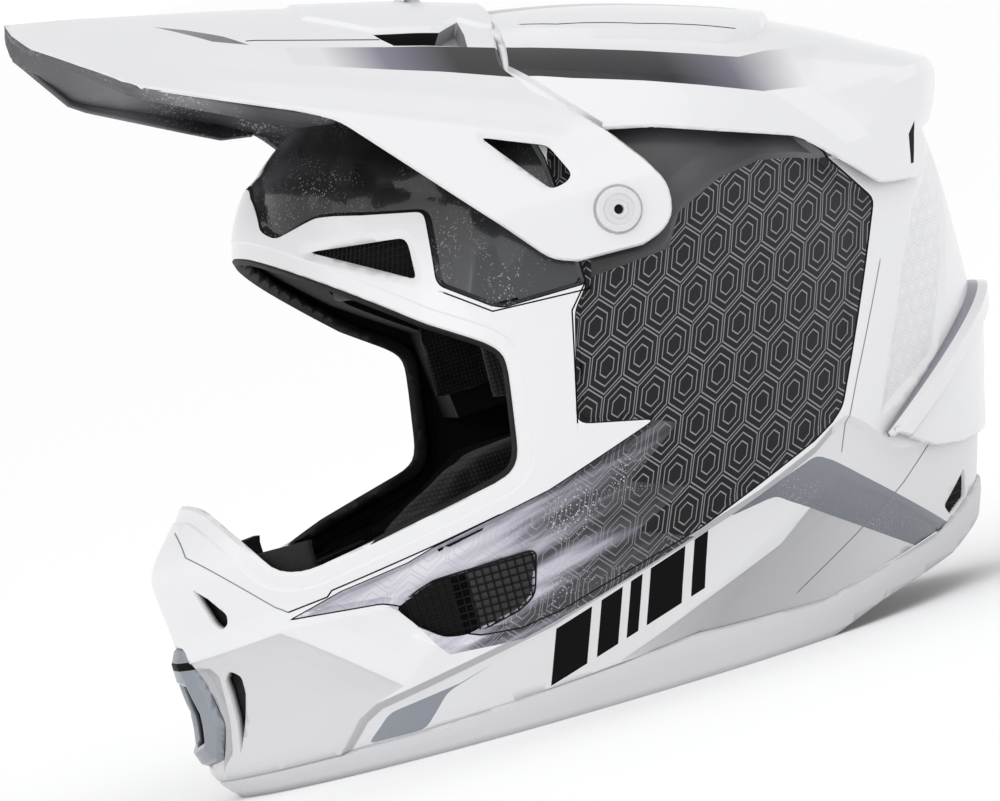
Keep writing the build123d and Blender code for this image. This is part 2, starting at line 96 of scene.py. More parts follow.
# Outlines seen from the front reach only what lies ahead of this Y, those from above only what is over this Z.
FRONT_LIMIT = -60.0
TOP_LIMIT = 150.0
# A corner whose cosine is above this is left as it is; an eased one starts within this share of each side.
STRAIGHT_COSINE = 0.94
CORNER_SHARE = 0.45
# Distance beside a cut within which faces are cut, and within which they are looked through.
CUT_MARGIN = 1.2
LOOK_MARGIN = 7.0
POOL_MARGIN = 9.0
# Levels that a form is measured at, how much a change of width counts in its height, and its radius seen from above.
HEIGHT_SAMPLES = 400
WIDTH_SHARE = 0.8
MEAN_RADIUS = 158
# Axis of the visor's tilt, as Y and Z.
PIVOT: Point = (20.0, 179.5)


# ---- colours and shader nodes -------------------------------------------------------------
def linear(hex_colour: str) -> tuple[float, float, float, float]:
    """Turn an sRGB hex colour into linear RGBA.

    Args:
        hex_colour: Six hex digits.

    Returns:
        Linear red, green, blue and an alpha of 1.
    """
    channels = [int(hex_colour[i : i + 2], 16) / 255 for i in (0, 2, 4)]
    return (*[c / 12.92 if c <= 0.04045 else ((c + 0.055) / 1.055) ** 2.4 for c in channels], 1.0)


def add_node(
    tree: bpy.types.NodeTree,
    kind: str,
    inputs: dict[int | str, object] | None = None,
    **settings: object,
) -> bpy.types.Node:
    """Add one shader node with its settings, values and links.

    Args:
        tree: Node tree that gets the node.
        kind: Node type.
        inputs: Value or output socket for each input, by name or number.
        **settings: Attributes of the node.

    Returns:
        The node.
    """
    node = tree.nodes.new(kind)
    for name, value in settings.items():
        setattr(node, name, value)
    for key, value in (inputs or {}).items():
        if isinstance(value, bpy.types.NodeSocket):
            tree.links.new(value, node.inputs[key])
        else:
            node.inputs[key].default_value = value
    return node


@dataclass(frozen=True)
class Finish:
    """One real material and how its surface was made.

    A subclass draws the pattern of its own surface in colour_of and height_of.
    """

    name: str
    colour: str
    roughness: float
    metallic: float = 0.0
    coat: float = 0.0
    coat_roughness: float = 0.05
    sheen: float = 0.0
    transmission: float = 0.0
    ior: float = 1.5
    specular: float = 0.5
    grain_mm: float = 0.0
    grain_depth_mm: float = 0.0
    variation: float = 0.0

    def colour_of(self, tree: bpy.types.NodeTree, place: bpy.types.NodeSocket) -> bpy.types.NodeSocket:
        """Draw the surface colour: a slight cloudiness over the base colour.

        Args:
            tree: The material's node tree.
            place: Object coordinates in metres.

        Returns:
            The colour's socket.
        """
        cloud = add_node(tree, "ShaderNodeTexNoise", {"Vector": place, "Scale": CLOUD_PER_M, "Detail": 3.0})
        spread = add_node(
            tree, "ShaderNodeMapRange", {0: cloud.outputs["Fac"], 3: 1 - self.variation, 4: 1 + self.variation}
        )
        tint = add_node(
            tree, "ShaderNodeVectorMath", {0: linear(self.colour)[:3], 3: spread.outputs[0]}, operation="SCALE"
        )
        return tint.outputs[0]

    def height_of(self, tree: bpy.types.NodeTree, place: bpy.types.NodeSocket) -> bpy.types.NodeSocket:
        """Draw the surface relief: moulded or sprayed grain.

        Args:
            tree: The material's node tree.
            place: Object coordinates in metres.

        Returns:
            The height's socket, 0 to 1.
        """
        grain = add_node(
            tree, "ShaderNodeTexNoise", {"Vector": place, "Scale": 1 / (self.grain_mm * MM), "Detail": 2.0}
        )
        return grain.outputs["Fac"]

    def build(self) -> bpy.types.Material:
        """Make the material once and return it every time after that."""
        ready = bpy.data.materials.get(self.name)
        if ready:
            return ready
        material = bpy.data.materials.new(self.name)
        material.use_nodes = True
        tree = material.node_tree
        shader = tree.nodes["Principled BSDF"]
        place = add_node(tree, "ShaderNodeTexCoord").outputs["Object"]
        tree.links.new(self.colour_of(tree, place), shader.inputs["Base Color"])
        shader.inputs["Roughness"].default_value = self.roughness
        shader.inputs["Metallic"].default_value = self.metallic
        shader.inputs["Coat Weight"].default_value = self.coat
        shader.inputs["Coat Roughness"].default_value = self.coat_roughness
        shader.inputs["Sheen Weight"].default_value = self.sheen
        shader.inputs["Transmission Weight"].default_value = self.transmission
        shader.inputs["IOR"].default_value = self.ior
        shader.inputs["Specular IOR Level"].default_value = self.specular
        if self.grain_mm and self.grain_depth_mm:
            bump = add_node(
                tree,
                "ShaderNodeBump",
                {"Height": self.height_of(tree, place), "Distance": self.grain_depth_mm * MM, "Strength": 1.0},
            )
            tree.links.new(bump.outputs[0], shader.inputs["Normal"])
        return material


def axis_ramp(
    tree: bpy.types.NodeTree,
    place: bpy.types.NodeSocket,
    axis: tuple[float, float, float],
    stops: Sequence[tuple[float, str]],
) -> bpy.types.NodeSocket:
    """Blend colours along a direction through the object.

    Args:
        tree: The material's node tree.
        place: Object coordinates in metres.
        axis: Direction; the distance along it is measured in millimetres.
        stops: Distance and colour of each stop, in rising order.

    Returns:
        The colour's socket.
    """
    along = add_node(tree, "ShaderNodeVectorMath", {0: place, 1: axis}, operation="DOT_PRODUCT")
    low, high = stops[0][0], stops[-1][0]
    part = add_node(
        tree, "ShaderNodeMapRange", {0: along.outputs["Value"], 1: low * MM, 2: high * MM, 3: 0.0, 4: 1.0}
    )
    ramp = add_node(tree, "ShaderNodeValToRGB", {0: part.outputs[0]})
    elements = ramp.color_ramp.elements
    while len(elements) < len(stops):
        elements.new(0.5)
    for element, (distance, colour) in zip(elements, stops):
        element.position = (distance - low) / (high - low)
        element.color = linear(colour)
    return ramp.outputs[0]


@dataclass(frozen=True)
class GradedPaint(Finish):
    """Lacquer sprayed from one colour into another along a direction, with metal flake in it."""

    axis: tuple[float, float, float] = (0.0, 1.0, 0.0)
    stops: tuple[tuple[float, str], ...] = ((0.0, "FFFFFF"), (1.0, "000000"))
    flake_mm: float = 0.0
    flake_share: float = 0.1
    flake_colour: str = "FFFFFF"
    streak_mm: float = 0.0

    def colour_of(self, tree: bpy.types.NodeTree, place: bpy.types.NodeSocket) -> bpy.types.NodeSocket:
        """Draw the blend and scatter the flake over it.

        Args:
            tree: The material's node tree.
            place: Object coordinates in metres.

        Returns:
            The colour's socket.
        """
        base = axis_ramp(tree, self.streaked(tree, place) if self.streak_mm else place, self.axis, self.stops)
        if not self.flake_mm:
            return base
        cells = add_node(tree, "ShaderNodeTexVoronoi", {"Vector": place, "Scale": 1 / (self.flake_mm * MM)})
        lone = add_node(tree, "ShaderNodeSeparateColor", {0: cells.outputs["Color"]})
        near = add_node(tree, "ShaderNodeMath", {0: lone.outputs[0], 1: self.flake_share}, operation="LESS_THAN")
        patch = add_node(tree, "ShaderNodeTexNoise", {"Vector": place, "Scale": PATCH_PER_M, "Detail": 2.0})
        cover = add_node(tree, "ShaderNodeMapRange", {0: patch.outputs["Fac"], 1: 0.45, 2: 0.7})
        share = add_node(tree, "ShaderNodeMath", {0: near.outputs[0], 1: cover.outputs[0]}, operation="MULTIPLY")
        mix = add_node(
            tree, "ShaderNodeMix", {0: share.outputs[0], 6: base, 7: linear(self.flake_colour)}, data_type="RGBA"
        )
        return mix.outputs[2]

    def streaked(self, tree: bpy.types.NodeTree, place: bpy.types.NodeSocket) -> bpy.types.NodeSocket:
        """Drag the blend into long smears.

        Args:
            tree: The material's node tree.
            place: Object coordinates in metres.

        Returns:
            The shifted coordinates' socket.
        """
        along = add_node(tree, "ShaderNodeVectorMath", {0: place, 1: SMEAR_ALONG}, operation="DOT_PRODUCT")
        across = add_node(tree, "ShaderNodeVectorMath", {0: place, 1: SMEAR_ACROSS}, operation="DOT_PRODUCT")
        brushed = add_node(tree, "ShaderNodeCombineXYZ", {0: along.outputs["Value"], 1: across.outputs["Value"]})
        smear = add_node(tree, "ShaderNodeTexNoise", {"Vector": brushed.outputs[0], "Scale": 1.0, "Detail": 3.0})
        amount = add_node(
            tree,
            "ShaderNodeMapRange",
            {0: smear.outputs["Fac"], 1: 0.3, 2: 0.7, 3: -self.streak_mm * MM, 4: self.streak_mm * MM},
        )
        shift = add_node(tree, "ShaderNodeVectorMath", {0: self.axis, 3: amount.outputs[0]}, operation="SCALE")
        return add_node(
            tree, "ShaderNodeVectorMath", {0: place, 1: shift.outputs[0]}, operation="ADD"
        ).outputs[0]


@dataclass(frozen=True)
class HexPrint(GradedPaint):
    """Graded lacquer with a thin printed line pattern of nested, leaning hexagons."""

    cell_mm: float = 15.5
    lean: float = 0.6
    line: float = 0.013
    rings: tuple[float, ...] = (0.465, 0.33, 0.19)
    line_colour: str = "9A9A9E"
    strength: float = 1.0

    def colour_of(self, tree: bpy.types.NodeTree, place: bpy.types.NodeSocket) -> bpy.types.NodeSocket:
        """Draw the nested hexagons over the graded base.

        Args:
            tree: The material's node tree.
            place: Object coordinates in metres.

        Returns:
            The colour's socket.
        """
        base = super().colour_of(tree, place)
        split = add_node(tree, "ShaderNodeSeparateXYZ", {0: place})
        across = add_node(
            tree,
            "ShaderNodeMath",
            {0: split.outputs[1], 1: -self.lean, 2: split.outputs[2]},
            operation="MULTIPLY_ADD",
        )
        flat = add_node(tree, "ShaderNodeCombineXYZ", {0: across.outputs[0], 1: split.outputs[1]})
        scaled = add_node(
            tree, "ShaderNodeVectorMath", {0: flat.outputs[0], 3: 1 / (self.cell_mm * MM)}, operation="SCALE"
        )
        cell = (1.0, ROOT3, 1.0)
        half = (0.5, ROOT3 / 2, 0.0)
        offsets = []
        for cells in (CELLS_AWAY, CELLS_AWAY + 0.5):
            shift = (cells, cells * ROOT3, 0.0)
            moved = add_node(tree, "ShaderNodeVectorMath", {0: scaled.outputs[0], 1: shift}, operation="ADD")
            wrapped = add_node(tree, "ShaderNodeVectorMath", {0: moved.outputs[0], 1: cell}, operation="MODULO")
            centred = add_node(tree, "ShaderNodeVectorMath", {0: wrapped.outputs[0], 1: half}, operation="SUBTRACT")
            offsets.append(add_node(tree, "ShaderNodeVectorMath", {0: centred.outputs[0]}, operation="ABSOLUTE"))
        lengths = [add_node(tree, "ShaderNodeVectorMath", {0: o.outputs[0]}, operation="LENGTH") for o in offsets]
        nearer = add_node(
            tree,
            "ShaderNodeMath",
            {0: lengths[0].outputs["Value"], 1: lengths[1].outputs["Value"]},
            operation="LESS_THAN",
        )
        chosen = add_node(
            tree,
            "ShaderNodeMix",
            {0: nearer.outputs[0], 4: offsets[1].outputs[0], 5: offsets[0].outputs[0]},
            data_type="VECTOR",
        )
        slope = add_node(
            tree,
            "ShaderNodeVectorMath",
            {0: chosen.outputs[1], 1: half},
            operation="DOT_PRODUCT",
        )
        sides = add_node(tree, "ShaderNodeSeparateXYZ", {0: chosen.outputs[1]})
        reach = add_node(
            tree, "ShaderNodeMath", {0: sides.outputs[0], 1: slope.outputs["Value"]}, operation="MAXIMUM"
        )
        drawn: bpy.types.NodeSocket | None = None
        for ring in self.rings:
            band = add_node(
                tree, "ShaderNodeMath", {0: reach.outputs[0], 1: ring, 2: self.line}, operation="COMPARE"
            )
            drawn = (
                add_node(tree, "ShaderNodeMath", {0: drawn, 1: band.outputs[0]}, operation="MAXIMUM").outputs[0]
                if drawn
                else band.outputs[0]
            )
        share = add_node(tree, "ShaderNodeMath", {0: drawn, 1: self.strength}, operation="MULTIPLY")
        mix = add_node(
            tree, "ShaderNodeMix", {0: share.outputs[0], 6: base, 7: linear(self.line_colour)}, data_type="RGBA"
        )
        return mix.outputs[2]


@dataclass(frozen=True)
class Weave(Finish):
    """Woven or knitted cloth, drawn as crossed threads of a real spacing."""

    thread_mm: float = 1.0
    # Colour of the thread tops: painted highlight.
    light: str = "2A2A2C"

    def threads(self, tree: bpy.types.NodeTree, place: bpy.types.NodeSocket) -> bpy.types.NodeSocket:
        """Cross two sets of threads.

        Args:
            tree: The material's node tree.
            place: Object coordinates in metres.

        Returns:
            A socket that is 1 on top of a thread and 0 between threads.
        """
        waves = []
        for direction in ("Y", "Z"):
            wave = add_node(
                tree,
                "ShaderNodeTexWave",
                {"Vector": place, "Scale": ONE_BAND / (self.thread_mm * MM), "Distortion": 0.4},
                bands_direction=direction,
            )
            waves.append(wave.outputs["Fac"])
        return add_node(tree, "ShaderNodeMath", {0: waves[0], 1: waves[1]}, operation="MULTIPLY").outputs[0]

    def colour_of(self, tree: bpy.types.NodeTree, place: bpy.types.NodeSocket) -> bpy.types.NodeSocket:
        """Lighten the tops of the threads: painted highlight where light catches them.

        Args:
            tree: The material's node tree.
            place: Object coordinates in metres.

        Returns:
            The colour's socket.
        """
        mix = add_node(
            tree,
            "ShaderNodeMix",
            {0: self.threads(tree, place), 6: linear(self.colour), 7: linear(self.light)},
            data_type="RGBA",
        )
        return mix.outputs[2]

    def height_of(self, tree: bpy.types.NodeTree, place: bpy.types.NodeSocket) -> bpy.types.NodeSocket:
        """Raise the threads."""
        return self.threads(tree, place)


# Composite shell, primed and sprayed gloss white: soft broad highlights under a clear lacquer.
SHELL_WHITE = Finish("gloss_white_lacquer", "E4E4E5", 0.3, coat=0.5, grain_mm=1.6, grain_depth_mm=0.012, variation=0.01)
# Painted shade: the same white over the lower body, a shade greyer where it turns down away from the light.
BODY_PAINTED_SHADE = Finish(
    "satin_white_painted_shade", "DADADC", 0.36, coat=0.35, grain_mm=1.6, grain_depth_mm=0.012, variation=0.015,
)
# Brow and upper side: smoked black lacquer with scattered pearl flake, deep and glossy.
BROW_BLACK = GradedPaint(
    "smoked_black_lacquer", "3A3B3D", 0.24, coat=0.5, coat_roughness=0.05, specular=0.35, grain_mm=2.0,
    grain_depth_mm=0.01,
    axis=(0.0, 0.6, -0.8), stops=((-230.0, "121213"), (-190.0, "1C1D1E"), (-158.0, "3A3B3D")),
    flake_mm=0.5, flake_share=0.06, flake_colour="8E8F93",
)
# Side panel: satin charcoal with a printed hexagon line pattern.
PANEL_PRINT = HexPrint(
    "charcoal_satin_print", "454548", 0.5, specular=0.2, grain_mm=1.2, grain_depth_mm=0.01,
    axis=(0.0, 0.9, 0.43), stops=((-30.0, "161617"), (60.0, "1D1D1F"), (150.0, "2C2C2E")), line_colour="8A8A8E",
)
# Upper side panel above the fold: the same charcoal left plain and glossier, with painted highlight: its lighter bands
# stand in for reflections on the gloss.
PANEL_PLAIN_PAINTED_HIGHLIGHT = GradedPaint(
    "charcoal_gloss_painted_highlight", "3E3E41", 0.3, coat=0.3, coat_roughness=0.08, specular=0.35, grain_mm=1.6,
    grain_depth_mm=0.01,
    axis=(0.0, 1.0, 0.0), stops=((10.0, "2C2C2E"), (50.0, "4C4C4E"), (80.0, "3A3A3C"), (112.0, "6E6E72")),
)
# Silver base coat around the side vent, fading into the charcoal.
SILVER_FADE = HexPrint(
    "silver_metallic_lacquer", "B4B1BC", 0.34, metallic=0.35, coat=0.5, grain_mm=1.0, grain_depth_mm=0.01,
    axis=(0.0, 0.94, -0.34),
    stops=(
        (-160.0, "EDEDEF"), (-120.0, "D2D1D8"), (-88.0, "B4B2BF"), (-66.0, "77757F"), (-40.0, "3C3B41"),
        (-8.0, "1B1B1D"),
    ),
    flake_mm=0.4, flake_share=0.05, flake_colour="E4E4E8", line_colour="A9A9B2", strength=0.4, streak_mm=42.0,
)
# Metallic blue-grey trim colour on the lower body.
ACCENT_GREY = GradedPaint(
    "blue_grey_metallic_lacquer", "8A8D96", 0.35, metallic=0.4, coat=0.6, grain_mm=0.9, grain_depth_mm=0.01,
    axis=(0.0, 0.5, 0.86), stops=((-60.0, "8E929A"), (30.0, "7A7E86"), (70.0, "6C7077"), (110.0, "8A8D94")),
    flake_mm=0.35, flake_share=0.06, flake_colour="9EA1A8",
)
# Painted shade: the shell's white made greyer on the facets that turn down under the chin.
CHIN_PAINTED_SHADE = Finish(
    "white_lacquer_chin_painted_shade", "D0D0D2", 0.34, coat=0.4, grain_mm=1.6, grain_depth_mm=0.012, variation=0.01,
)
# Painted shade, graded: deepest under the ridge of the rear lower body, where the facet turns down, and fading out
# behind it;
# also on the sunk channel beside the chin insert.
FACET_PAINTED_SHADE = GradedPaint(
    "graded_painted_shade_lacquer", "B0B0B3", 0.36, coat=0.35, grain_mm=1.6, grain_depth_mm=0.012,
    axis=(0.0, 0.75, -0.66),
    stops=(
        (-120.0, "B6B6B9"), (-30.0, "C6C6C8"), (0.0, "A6A6A8"), (20.0, "B0B0B3"), (55.0, "CACACC"), (85.0, "D6D6D8"),
    ),
)
# Black gloss lacquer for the slanted bars.
BAR_BLACK = Finish(
    "black_gloss_lacquer", "060607", 0.45, specular=0.1, grain_mm=1.5, grain_depth_mm=0.01, variation=0.05,
)
# Open joint between two moulded pieces: deep shadow over dusty rubber seal. The same black covers the washers and the
# shell's inner face, and is painted shadow at the foot of the panel's and brow's raised edges, in the crown's slit
# and vent line, in the visor's inlet and groove and in the screw sockets.
SEAL_BLACK_AND_PAINTED_SHADOW = Finish("black_seal_rubber_and_painted_shadow", "161617", 0.85, specular=0.15, grain_mm=0.8, grain_depth_mm=0.05, variation=0.2)
# Mould line filled with grey primer.
SEAM_GREY = Finish("grey_primer_seam", "8E8E92", 0.5, grain_mm=1.0, grain_depth_mm=0.01, variation=0.05)
# Painted shade on the step that runs along the lower body, whose face turns down under the panel.
STEP_PAINTED_SHADE = Finish("step_painted_shade_grey", "B3B3B7", 0.4, coat=0.3, grain_mm=1.5, grain_depth_mm=0.01, variation=0.02)
# Pearl print on the rear pillar: white on white, seen only as a change of tone.
PILLAR_PRINT = HexPrint(
    "pearl_white_print", "E2E2E5", 0.32, coat=0.5, grain_mm=1.5, grain_depth_mm=0.01, cell_mm=6.0, line=0.03,
    axis=(0.0, 0.2, 1.0), stops=((60.0, "DCDCDF"), (130.0, "E2E2E4"), (200.0, "E8E8EA")), line_colour="C0C0C6",
    strength=0.45,
)
# Moulded edge band along the rim, matt light grey rubber.
RIM_RUBBER = Finish("light_grey_rim_rubber", "CFCFD2", 0.55, grain_mm=0.9, grain_depth_mm=0.03, variation=0.02)
# Soft edge bead of the eye port.
PORT_BEAD = Finish("black_edge_rubber", "161617", 0.6, specular=0.25, grain_mm=0.9, grain_depth_mm=0.02, variation=0.02)
# Woven wire look of the moulded vent grilles.
VENT_BLACK = Finish(
    "black_moulded_nylon", "121213", 0.5, specular=0.3, grain_mm=0.6, grain_depth_mm=0.03, variation=0.1,
)
# Underside of the visor: dark grey polypropylene with pale flecks, with painted shade growing darker towards the rear,
# deep under the peak, and a lighter band a little behind the front edge.
VISOR_UNDER = GradedPaint(
    "flecked_grey_polypropylene_painted_shade", "55555A", 0.5, grain_mm=0.7, grain_depth_mm=0.04,
    axis=(0.0, 1.0, 0.0),
    stops=((-172.0, "4A4A4E"), (-142.0, "5A5A5E"), (-120.0, "7C7C80"), (-95.0, "3E3E42"), (20.0, "2A2A2C")),
    flake_mm=0.7, flake_share=0.16, flake_colour="A9A9AE",
)
# Painted band along the crown: violet grey into near black and back into white.
STRIPE_FADE = GradedPaint(
    "violet_grey_lacquer", "4A4A50", 0.35, metallic=0.2, coat=0.3, specular=0.3, grain_mm=1.5, grain_depth_mm=0.01,
    axis=(0.0, 1.0, 0.0),
    stops=(
        (-62.0, "E4E4E5"), (-40.0, "7E7C8C"), (-14.0, "1E1E20"), (60.0, "222225"), (84.0, "6C6A78"),
        (112.0, "E4E4E5"),
    ),
)
# Clear-coated polycarbonate screw, milky in the middle.
SCREW_MILKY = Finish(
    "milky_polycarbonate", "EFEFF1", 0.14, ior=1.58, transmission=0.25, coat=0.8, grain_mm=1.5, grain_depth_mm=0.02,
    variation=0.03,
)
# Expanded polystyrene bead foam, dyed black: beads about 3 mm across.
BEAD_FOAM = Finish(
    "black_expanded_polystyrene", "161617", 0.8, specular=0.2, grain_mm=3.0, grain_depth_mm=0.3, variation=0.2,
)
# Thermoplastic rubber of the energy inserts.
INSERT_RUBBER = Finish("orange_grey_elastomer", "4A4A4D", 0.6, grain_mm=1.2, grain_depth_mm=0.05, variation=0.1)
# Brushed knit that faces the skin.
LINING_KNIT = Weave(
    "black_brushed_knit", "0C0C0D", 0.9, specular=0.2, sheen=0.15, grain_mm=1.6, grain_depth_mm=0.25, thread_mm=1.6,
    light="2D2D30",
)
# Tight nylon webbing of the strap.
WEBBING = Weave(
    "black_nylon_webbing", "0E0E10", 0.7, sheen=0.2, grain_mm=1.2, grain_depth_mm=0.25, thread_mm=1.3, light="333336",
)
# Stainless wire, tumbled and polished.
STEEL = Finish(
    "polished_stainless_steel", "C8C9CB", 0.22, metallic=1.0, grain_mm=0.5, grain_depth_mm=0.01, variation=0.03,
)
# Turned brass inserts.
BRASS = Finish("turned_brass", "B08D4A", 0.35, metallic=1.0, grain_mm=0.4, grain_depth_mm=0.02, variation=0.05)
# Reticulated filter foam with open pores of about 2 mm.
FILTER_FOAM = Finish("open_cell_filter_foam", "1C1C1E", 0.95, grain_mm=1.8, grain_depth_mm=0.8, variation=0.4)
# Black injection-moulded polypropylene for clips and plates.
CLIP_PLASTIC = Finish("black_polypropylene", "202022", 0.45, grain_mm=0.7, grain_depth_mm=0.03, variation=0.08)
# Grey lacquer of the band along the top of the crown and of the sunk parts of the visor.
TOP_GREY = GradedPaint(
    "mid_grey_lacquer", "9A9A9C", 0.35, coat=0.5, grain_mm=1.5, grain_depth_mm=0.01,
    axis=(0.0, 1.0, 0.0),
    stops=((-120.0, "8C8C8F"), (-84.0, "5E5E61"), (-20.0, "6A6A6D"), (10.0, "A2A2A5"), (110.0, "B6B6B9")),
)
# Violet-grey pinstripe that edges the rear cover.
EDGE_VIOLET = Finish(
    "violet_grey_pinstripe", "8C8A96", 0.4, metallic=0.2, coat=0.4, grain_mm=1.5, grain_depth_mm=0.01, variation=0.05,
)

# Finish of each small part, by the start of its name.
HARDWARE_FINISHES = (
    ("visor_screw", SCREW_MILKY), ("visor_washer", SEAL_BLACK_AND_PAINTED_SHADOW),
    ("visor_insert", BRASS), ("d_ring", STEEL), ("strap_rivet", STEEL), ("strap_snap", CLIP_PLASTIC),
    ("strap_pad", LINING_KNIT), ("strap", WEBBING), ("cheek_plate", CLIP_PLASTIC), ("impact_inserts", INSERT_RUBBER),
    ("impact_liner", BEAD_FOAM), ("chin_liner", BEAD_FOAM), ("crown_pad", LINING_KNIT), ("brow_pad", LINING_KNIT),
    ("neck_roll", LINING_KNIT), ("cheek_pad", LINING_KNIT),
)


# ---- the helmet's form --------------------------------------------------------------------
class View(Enum):
    """Direction that an outline is drawn from, as the two axes that it uses."""

    SIDE = (1, 2)
    FRONT = (0, 2)
    TOP = (0, 1)


@dataclass(frozen=True)
class LevelForm:
    """A rounded form given by level curves: height, front, rear, half width, roundness."""

    stations: tuple[tuple[float, float, float, float, float], ...]
    middle: float = 15.0
    lean_from: float = 210.0
    lean: float = 0.5
    depth_power: float = 2.1
    rear_power: float = 1.75

    def column(self, heights: np.ndarray, index: int) -> np.ndarray:
        """Interpolate one value of the stations without overshoot.

        Args:
            heights: Heights to read.
            index: Which value of a station.

        Returns:
            The value at each height.
        """
        x = np.array([s[0] for s in self.stations], float)
        y = np.array([s[index] for s in self.stations], float)
        gap = np.diff(x)
        rise = np.diff(y) / gap
        slope = np.zeros_like(y)
        slope[0], slope[-1] = rise[0], rise[-1]
        for i in range(1, len(x) - 1):
            if rise[i - 1] * rise[i] > 0:
                before, after = 2 * gap[i] + gap[i - 1], gap[i] + 2 * gap[i - 1]
                slope[i] = (before + after) / (before / rise[i - 1] + after / rise[i])
        h = np.clip(heights, x[0], x[-1])
        i = np.clip(np.searchsorted(x, h) - 1, 0, len(x) - 2)
        t = (h - x[i]) / gap[i]
        start = (1 + 2 * t) * (1 - t) ** 2 * y[i] + t * (1 - t) ** 2 * gap[i] * slope[i]
        return start + t * t * (3 - 2 * t) * y[i + 1] + t * t * (t - 1) * gap[i] * slope[i + 1]

    def points(self, angle: np.ndarray, height: np.ndarray) -> np.ndarray:
        """Place points on the left half of the form.

        Args:
            angle: 0 at the front, pi at the rear.
            height: Height of each point.

        Returns:
            One row of X, Y, Z for each point.
        """
        front, rear = self.column(height, 1), self.column(height, 2)
        width, roundness = self.column(height, 3), self.column(height, 4)
        leaning = self.middle - np.maximum(0, height - self.lean_from) * self.lean
        middle = np.minimum(np.maximum(leaning, front + 4), rear - 4)
        c, s = np.cos(angle), np.abs(np.sin(angle))
        s[s < TINY] = 0
        reach = np.abs(c) ** (2 / self.depth_power)
        ahead = c > 0
        y = np.where(ahead, middle - (middle - front) * reach, middle + (rear - middle) * reach)
        x = width * s ** np.where(ahead, 2 / roundness, 2 / self.rear_power)
        return np.stack([x, y, height], axis=1)


SHELL_FORM = LevelForm(
    (
        (-2, -161, 122, 104, 1.6), (14, -173, 140, 109, 1.55), (34, -171, 149, 114, 1.5),
        (60, -171, 157, 118, 1.5), (88, -173, 163, 120.5, 1.5), (112, -156, 166, 121, 1.55),
        (150, -138, 167, 120, 1.7), (176, -121, 165, 117, 1.85), (196, -109, 154, 110.5, 1.95),
        (212, -102, 134, 101, 2.0), (226, -92, 109, 87, 2.0), (238, -77, 80, 70, 2.0),
        (248, -56, 48, 47, 2.0), (254, -34, 20, 22, 2.0), (256, -22, 8, 10, 2.0),
    )
)


def eased(points: Sequence[Point], reach: float, closed: bool) -> list[Point]:
    """Turn each sharp corner of an outline into a short curve.

    Args:
        points: The corners.
        reach: How far from a corner its curve starts, at most.
        closed: Whether the last point joins the first.

    Returns:
        The points of the eased outline.
    """
    result: list[Point] = []
    for i, (x, y) in enumerate(points):
        (ax, ay), (bx, by) = points[i - 1], points[(i + 1) % len(points)]
        before, after = math.hypot(ax - x, ay - y), math.hypot(bx - x, by - y)
        straight = ((x - ax) * (bx - x) + (y - ay) * (by - y)) / max(before * after, TINY)
        if straight > STRAIGHT_COSINE or (not closed and i in (0, len(points) - 1)):
            result.append((x, y))
            continue
        start, end = min(reach, before * CORNER_SHARE) / before, min(reach, after * CORNER_SHARE) / after
        for t in (0.0, 0.33, 0.67, 1.0):
            lead, trail = (1 - t) ** 2 * start, t * t * end
            result.append((x + (ax - x) * lead + (bx - x) * trail, y + (ay - y) * lead + (by - y) * trail))
    return result


@dataclass(frozen=True)
class Outline:
    """A line drawn from one direction.

    A distance from a closed outline is positive inside it. A distance from an open one is never
    positive.
    """

    points: Points
    view: View = View.SIDE
    closed: bool = True
    above: float = -FAR
    reach: float = 0.0

    def distance(self, places: np.ndarray) -> np.ndarray:
        """Measure how far each place lies inside the outline.

        Args:
            places: One row of X, Y, Z for each place, in millimetres.

        Returns:
            The signed distance of each place.
        """
        flat = places[:, self.view.value]
        best = np.full(len(flat), FAR)
        inside = np.zeros(len(flat), bool)
        for (ax, ay), (bx, by) in self.segments():
            span = np.array([bx - ax, by - ay])
            t = np.clip(((flat - (ax, ay)) @ span) / max(span @ span, TINY), 0, 1)
            best = np.minimum(best, np.hypot(flat[:, 0] - ax - t * span[0], flat[:, 1] - ay - t * span[1]))
            if self.closed:
                crosses = (ay > flat[:, 1]) != (by > flat[:, 1])
                at = (bx - ax) * (flat[:, 1] - ay) / (by - ay if by != ay else TINY) + ax
                inside ^= crosses & (flat[:, 0] < at)
        signed = np.where(inside, best, -best) if self.closed else -best
        return np.where(self.applies(places), signed, -UNBOUNDED)

    def applies(self, places: np.ndarray) -> np.ndarray:
        """Say which places the outline can reach, so a front outline leaves the rear alone."""
        allowed = {
            View.SIDE: places[:, 1] > -FAR,
            View.FRONT: places[:, 1] < FRONT_LIMIT,
            View.TOP: places[:, 2] > TOP_LIMIT,
        }[self.view]
        return allowed & (places[:, 2] > self.above)

    def segments(self) -> list[tuple[Point, Point]]:
        """List the straight runs of the outline."""
        ring = eased(self.points, self.reach, self.closed) if self.reach else list(self.points)
        ring += [ring[0]] if self.closed else []
        return list(zip(ring, ring[1:]))

    def turns_left(self) -> bool:
        """Say whether a closed outline runs anticlockwise."""
        return sum(ax * by - bx * ay for (ax, ay), (bx, by) in self.segments()) > 0


def open_lines(lines: Sequence[Points]) -> list[Outline]:
    """Turn rows of points into open lines seen from the side."""
    return [Outline(points, View.SIDE, False) for points in lines]


def grown(points: Sequence[Point], growth: float) -> list[Point]:
    """Move the corners of a small outline away from its middle.

    Args:
        points: The corners.
        growth: Distance in millimetres.

    Returns:
        The moved corners.
    """
    cx = sum(x for x, _ in points) / len(points)
    cy = sum(y for _, y in points) / len(points)
    moved = []
    for x, y in points:
        length = math.hypot(x - cx, y - cy)
        moved.append((x + (x - cx) / length * growth, y + (y - cy) / length * growth))
    return moved


